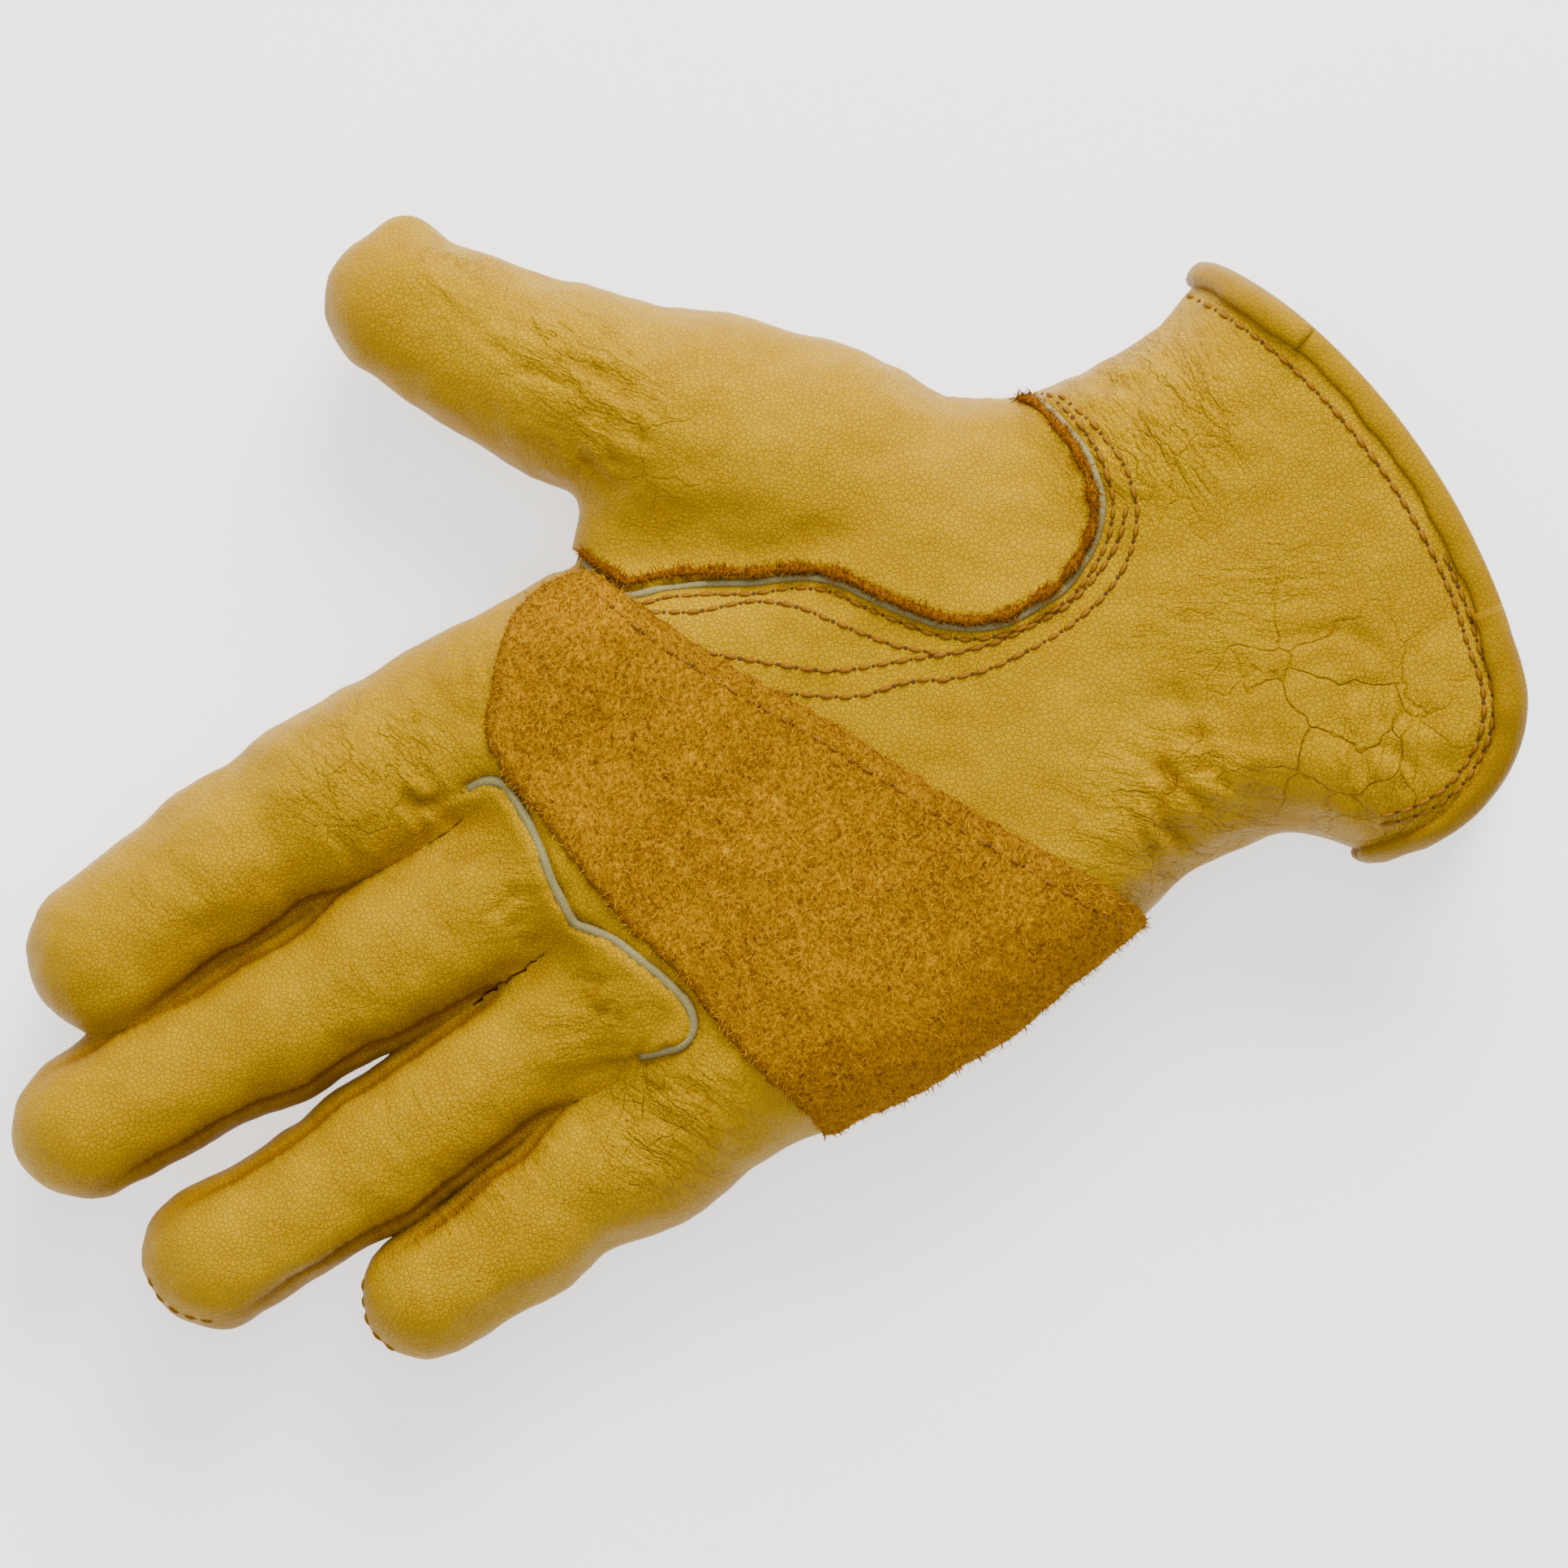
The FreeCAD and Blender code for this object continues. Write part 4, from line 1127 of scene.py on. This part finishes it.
def binding(name, first, last, width, height, seed):
    """A length of binding along the hem's line."""
    count = (last - first) % len(hem_line)
    where = [(first + i) % len(hem_line) for i in range(count + 1)]
    p, n, b = hem_line[where], form_normal[where], across[where]
    r = np.random.default_rng(seed)
    profile = binding_profile(width, height)
    vertices = []
    for i in range(len(where)):
        wave = 1 + 0.05 * math.sin(i * 0.35 + seed) + 0.035 * math.sin(i * 0.83 + 2 * seed) + r.normal(0,
            0.012)
        for a, c in profile:
            q = p[i] + b[i] * a * (wave if a > 0 else 1)
            vertices.append(np.concatenate([q, [c * (wave if c > 0 else 1)]]))
    vertices = np.array(vertices)
    base = vertices[:, :3]
    deep = np.tile(np.array([a for a, _ in profile]) > 0.3, len(where))
    settled = settle(glove_field, base[deep], 2)
    facing = np.repeat(n, len(profile), axis=0)
    facing[deep] = slope(glove_field, settled)
    base[deep] = settled + facing[deep] * relief(settled)[0][:, None] * 0.8
    vertices = base + facing * vertices[:, 3:4]
    size = len(profile)
    faces = [(i * size + k, i * size + (k + 1) % size, (i + 1) * size + (k + 1) % size, (i + 1) * size + k)
             for i in range(len(where) - 1) for k in range(size)]
    faces += [tuple(range(size))[::-1], tuple((len(where) - 1) * size + k for k in range(size))]
    thing = make(name, vertices, faces, binding_leather, "palm")
    point_outwards(thing)
    return thing


def place_on_hem(x, over):
    """The hem point nearest a level of X on the palm's side or the back's."""
    near = np.abs(hem_line[:, 0] - x) + np.where((hem_line[:, 2] > 17) == over, 0, 100)
    near = near + np.where(hem_line[:, 1] < -100, 0, 100)
    return int(np.argmin(near))


little_end, thumb_end, back_end = place_on_hem(-56, True), place_on_hem(-4.5, True), place_on_hem(-30, False)
turn = 1 if (thumb_end - little_end) % len(hem_line) < len(hem_line) / 2 else -1
if turn < 0:
    hem_line, form_normal, across = hem_line[::-1], form_normal[::-1], across[::-1]
    little_end, thumb_end, back_end = (len(hem_line) - 1 - k for k in (little_end, thumb_end, back_end))
piece = binding("binding_middle", little_end - 3, thumb_end + 3, 3.3, 1.15, 3)
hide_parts("cuff_binding_middle")
piece = binding("binding_thumb_side", thumb_end, back_end, 3.9, 2.0, 5)
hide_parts("cuff_binding_thumb")
piece = binding("binding_little_side", back_end, little_end, 4.1, 1.75, 8)
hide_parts("cuff_binding_little", "cuff_binding_back")

# %% [markdown]
# ## Stitching
# One tree of geometry nodes lays a thread stitch, or a dark bead of painted shade for a needle hole, on
# each marked point, turned along the row.

# %% A tree that lays copies along a row
def set_input(modifier, name, value):
    """Give a modifier's input by its name in the tree."""
    for item in modifier.node_group.interface.items_tree:
        if item.item_type == "SOCKET" and item.in_out == "INPUT" and item.name == name:
            modifier[item.identifier] = value


def copies_tree(name, on_faces):
    """Copies of one shape on points, or scattered over faces, with a seed, and one material."""
    tree = bpy.data.node_groups.new(name, "GeometryNodeTree")
    face = tree.interface
    face.new_socket("Geometry", in_out="INPUT", socket_type="NodeSocketGeometry")
    for label_text, kind in (("Shape", "Object"), ("Material", "Material"), ("Seed", "Int"),
                             ("Size", "Float"),
                             ("Unevenness", "Float"), ("Density", "Float")):
        face.new_socket(label_text, in_out="INPUT", socket_type=f"NodeSocket{kind}")
    face.new_socket("Geometry", in_out="OUTPUT", socket_type="NodeSocketGeometry")
    add, link = tree.nodes.new, tree.links.new
    start, end = add("NodeGroupInput"), add("NodeGroupOutput")
    shape, copy = add("GeometryNodeObjectInfo"), add("GeometryNodeInstanceOnPoints")
    realize, paint = add("GeometryNodeRealizeInstances"), add("GeometryNodeSetMaterial")
    vary, spin = add("FunctionNodeRandomValue"), add("FunctionNodeRandomValue")
    vary.data_type = "FLOAT"
    one_less, one_more = add("ShaderNodeMath"), add("ShaderNodeMath")
    one_less.operation, one_more.operation = "SUBTRACT", "ADD"
    one_less.inputs[0].default_value = one_more.inputs[0].default_value = 1.0
    for node in (one_less, one_more):
        link(start.outputs["Unevenness"], node.inputs[1])
    scale = add("ShaderNodeMath")
    scale.operation = "MULTIPLY"
    link(one_less.outputs[0], vary.inputs[2])
    link(one_more.outputs[0], vary.inputs[3])
    link(start.outputs["Seed"], vary.inputs["Seed"])
    link(vary.outputs[1], scale.inputs[0])
    link(start.outputs["Size"], scale.inputs[1])
    link(start.outputs["Shape"], shape.inputs[0])
    if on_faces:
        scatter = add("GeometryNodeDistributePointsOnFaces")
        spin.data_type = "FLOAT_VECTOR"
        spin.inputs[0].default_value, spin.inputs[1].default_value = (-0.7, -0.7, -3.2), (0.7, 0.7, 3.2)
        link(start.outputs["Seed"], spin.inputs["Seed"])
        turned = add("FunctionNodeRotateRotation")
        turned.rotation_space = "LOCAL"
        link(start.outputs["Geometry"], scatter.inputs["Mesh"])
        link(start.outputs["Density"], scatter.inputs["Density"])
        link(start.outputs["Seed"], scatter.inputs["Seed"])
        link(scatter.outputs["Rotation"], turned.inputs["Rotation"])
        link(spin.outputs[0], turned.inputs["Rotate By"])
        link(scatter.outputs["Points"], copy.inputs["Points"])
        link(turned.outputs[0], copy.inputs["Rotation"])
    else:
        axes = add("FunctionNodeAxesToRotation")
        axes.primary_axis, axes.secondary_axis = "Z", "X"
        for key, socket in (("row_up", 0), ("row_along", 1)):
            named = add("GeometryNodeInputNamedAttribute")
            named.data_type = "FLOAT_VECTOR"
            named.inputs["Name"].default_value = key
            link(named.outputs[0], axes.inputs[socket])
        link(start.outputs["Geometry"], copy.inputs["Points"])
        link(axes.outputs[0], copy.inputs["Rotation"])
    link(shape.outputs["Geometry"], copy.inputs["Instance"])
    link(scale.outputs[0], copy.inputs["Scale"])
    link(copy.outputs["Instances"], realize.inputs[0])
    link(realize.outputs[0], paint.inputs["Geometry"])
    link(start.outputs["Material"], paint.inputs["Material"])
    link(paint.outputs[0], end.inputs[0])
    return tree


ON_POINTS, ON_FACES = copies_tree("copies_along_rows", False), copies_tree("copies_over_faces", True)


def grown(name, base, tree, shape, material, seed, size=1.0, unevenness=0.1, density=0.0):
    """The tree's result on a base mesh as a plain mesh."""
    carrier = bpy.data.objects.new(name + "_rows", base)
    bpy.context.scene.collection.objects.link(carrier)
    modifier = carrier.modifiers.new("copies", "NODES")
    modifier.node_group = tree
    for key, value in (("Shape", shape), ("Material", material), ("Seed", seed), ("Size", size),
                       ("Unevenness", unevenness), ("Density", density)):
        set_input(modifier, key, value)
    bpy.context.view_layer.update()
    mesh = bpy.data.meshes.new_from_object(carrier.evaluated_get(bpy.context.evaluated_depsgraph_get()))
    mesh.name = name
    bpy.data.objects.remove(carrier)
    thing = bpy.data.objects.new(name, mesh)
    bpy.context.scene.collection.objects.link(thing)
    mesh.polygons.foreach_set("use_smooth", [True] * len(mesh.polygons))
    return thing


def pattern_shape(name, vertices, faces):
    mesh = bpy.data.meshes.new(name)
    mesh.from_pydata([tuple(c * MM for c in v) for v in vertices], [], faces)
    return bpy.data.objects.new(name, mesh)


def bead(name, length, width, height, rings=5, sides=6, sag=0.0):
    """A rounded grain along X, such as one stitch of thread."""
    vertices, faces = [], []
    for i in range(rings):
        t = -1 + 2 * i / (rings - 1)
        girth = math.sqrt(max(1 - (t * 0.93) ** 4, 0.05))
        for k in range(sides):
            a = 2 * math.pi * k / sides
            vertices.append((t * length / 2, math.cos(a) * width / 2 * girth,
                             math.sin(a) * height / 2 * girth - sag * t * t))
    for i in range(rings - 1):
        faces += [(i * sides + k, (i + 1) * sides + k, (i + 1) * sides + (k + 1) % sides,
                   i * sides + (k + 1) % sides)
                  for k in range(sides)]
    faces += [tuple(range(sides)), tuple((rings - 1) * sides + k for k in reversed(range(sides)))]
    return pattern_shape(name, vertices, faces)


STITCH = bead("stitch", 2.2, 0.80, 0.62, sag=0.28)
# the flat bead that carries the needle holes' painted shade
HOLE = bead("hole", 0.70, 0.60, 0.12, rings=4)


def row_points(path, pitch, offset=0.0, height=0.0, finger=None):
    """Evenly spaced points over a line on the skin, with their directions."""
    even = rounded(np.asarray(path)[:, :2], pitch)
    if offset:
        even = (even[:-1] + even[1:]) / 2
    p, n = onto_skin(even, finger=finger)
    seen = p[:, 2] > 18.2
    p, n = p[seen], n[seen]
    t = directions(p)
    t -= n * (t * n).sum(axis=1)[:, None]
    return p + n * height, n, t


def row_mesh(name, rows):
    """Loose points that remember their up and along directions."""
    p, n, t = (np.vstack(part) for part in zip(*rows))
    mesh = bpy.data.meshes.new(name)
    mesh.from_pydata((p * MM).tolist(), [], [])
    for key, vectors in (("row_up", n), ("row_along", t)):
        mesh.attributes.new(key, "FLOAT_VECTOR", "POINT").data.foreach_set("vector",
            vectors.ravel().astype(np.float32))
    return mesh


def sew(name, paths, body="palm", pitch=3.0, height=0.2, replaces=(), finger=None):
    """Rows of stitches with dark beads of painted shade for the needle holes between them."""
    rows = [row_points(path, pitch, height=height, finger=finger) for path in paths]
    holes = [row_points(path, pitch, 1.0, height - 0.12, finger=finger) for path in paths]
    threads = grown(name, row_mesh(name + "_points", rows), ON_POINTS, STITCH, ochre_thread, 3, 1.0, 0.10)
    dots = grown(name + "_holes", row_mesh(name + "_hole_points", holes), ON_POINTS, HOLE, hole_shade, 5,
                 1.0, 0.15)
    for thing in (threads, dots):
        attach(thing, body)
    if replaces:
        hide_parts(*replaces)
    return threads


# %% Sew the rows
ROW_A = beside(THUMB_LINE, -2.4)
ROW_B = rounded([(9.1, -6.6), (5.8, -13.3), (3.7, -20.0), (-0.9, -26.0), (-7.6, -31.3), (-14.3, -36.7),
                 (-18.3, -41.4)])
ROW_C = rounded([(-0.9, -11.2), (-7.6, -19.3), (-13.0, -26.6), (-15.7, -33.3), (-17.7, -38.7), (-20.3, -45.4),
                 (-22.1, -53.4), (-22.4, -61.4), (-21.0, -68.0), (-17.7, -74.8), (-14.3, -78.2)])
ROW_D = rounded([(-10.3, -15.9), (-14.3, -21.3), (-18.3, -28.0), (-20.3, -36.0), (-23.0, -41.4),
                 (-25.0, -49.4),
                 (-25.4, -58.8), (-24.4, -66.8), (-21.7, -73.5), (-18.3, -77.5), (-14.3, -80.2),
                 (-7.6, -81.8),
                 (-0.9, -81.1), (6.0, -79.0)])
sew("thumb_seam_stitches", [ROW_A[3:-3], ROW_B, ROW_C, ROW_D], replaces=("thumb_stitching",))
patch_row = beside(rounded(PATCH[1:7]), 3.2)
sew("patch_seam_stitches", [patch_row[2:-2]], height=1.25, replaces=("patch_stitching",))


front = hem_line[:, 2] > 20
first = int(np.argmax(front & ~np.roll(front, 1)))
front_line = np.roll(hem_line, -first, axis=0)[:int(front.sum())]
cuff_rows = []
for inset, reach_x in ((5.9, 30.0), (4.4, -44.0)):
    moved = front_line.copy()
    for _ in range(4):
        moved = pull_to(moved, hem_inside, inset)
    keep = (moved[:, 1] < -78) & (moved[:, 0] < reach_x) & (onto_skin(moved)[0][:, 2] > 20)
    cuff_rows.append(moved[keep][::3])
sew("cuff_stitches", cuff_rows, pitch=2.9, replaces=("cuff_stitching",))

# the ends of the seams at the tips of two fingers
sew("ring_tip_stitches", [rounded([(-36.6, 114.3), (-40.5, 115.0), (-44.6, 115.3), (-49.0, 114.0),
                                   (-52.3, 110.6)])],
    body="ring_upper", pitch=2.6, height=0.05, finger="ring")
sew("little_tip_stitches", [rounded([(-59.6, 86.4), (-63.0, 88.4), (-66.6, 88.9), (-70.4, 88.0)])],
    body="little_upper", pitch=2.6, height=0.05, finger="little")

# %% The suede's nap, and loose fibres along the raw edges
curl = []
for i in range(4):
    t = i / 3
    curl += [(0.42 * t * t, -0.05 * (1 - 0.6 * t), 0.65 * t - 0.18 * t * t),
             (0.42 * t * t, 0.05 * (1 - 0.6 * t), 0.65 * t - 0.18 * t * t)]
FIBRE = pattern_shape("fibre", curl, [(0, 1, 3, 2), (2, 3, 5, 4), (4, 5, 7, 6)])
nap_base = palm_patch.data.copy()
bm = bmesh.new()
bm.from_mesh(nap_base)
bmesh.ops.delete(bm, geom=[f for f in bm.faces if f.normal.z < 0.15], context="FACES")
bm.to_mesh(nap_base)
bm.free()
fibres = grown("suede_nap", nap_base, ON_FACES, FIBRE, suede_fibre, 11, 1.6, 0.45, 3.2e6)
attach(fibres, "palm")
edge_fibres = grown("raw_edge_fibres", thumb_edge.data.copy(), ON_FACES, FIBRE, raw_edge, 12, 1.7, 0.4, 6.0e6)
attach(edge_fibres, "palm")
print("fibres:", len(fibres.data.polygons) // 3, "on the patch,", len(edge_fibres.data.polygons) // 3,
      "on the edge")

# %% Elastic inside the wrist
low, high = (np.array(corner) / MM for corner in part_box("wrist_elastic"))
count = 60
xs = np.linspace(low[0], high[0], count)
vertices, faces = [], []
for i, x in enumerate(xs):
    rise = 0.35 * math.sin(i * 0.9)
    for y, z in ((low[1], 0), (high[1], 0), (high[1], 0.9), (low[1], 0.9)):
        vertices.append((x, y, high[2] + 1.2 + rise + z))
for i in range(count - 1):
    faces += [(4 * i + k, 4 * i + (k + 1) % 4, 4 * i + 4 + (k + 1) % 4, 4 * i + 4 + k) for k in range(4)]
faces += [(3, 2, 1, 0), tuple(4 * (count - 1) + k for k in range(4))]
elastic = make("wrist_elastic_band", vertices, faces, elastic_weave, "palm")
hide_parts("wrist_elastic")
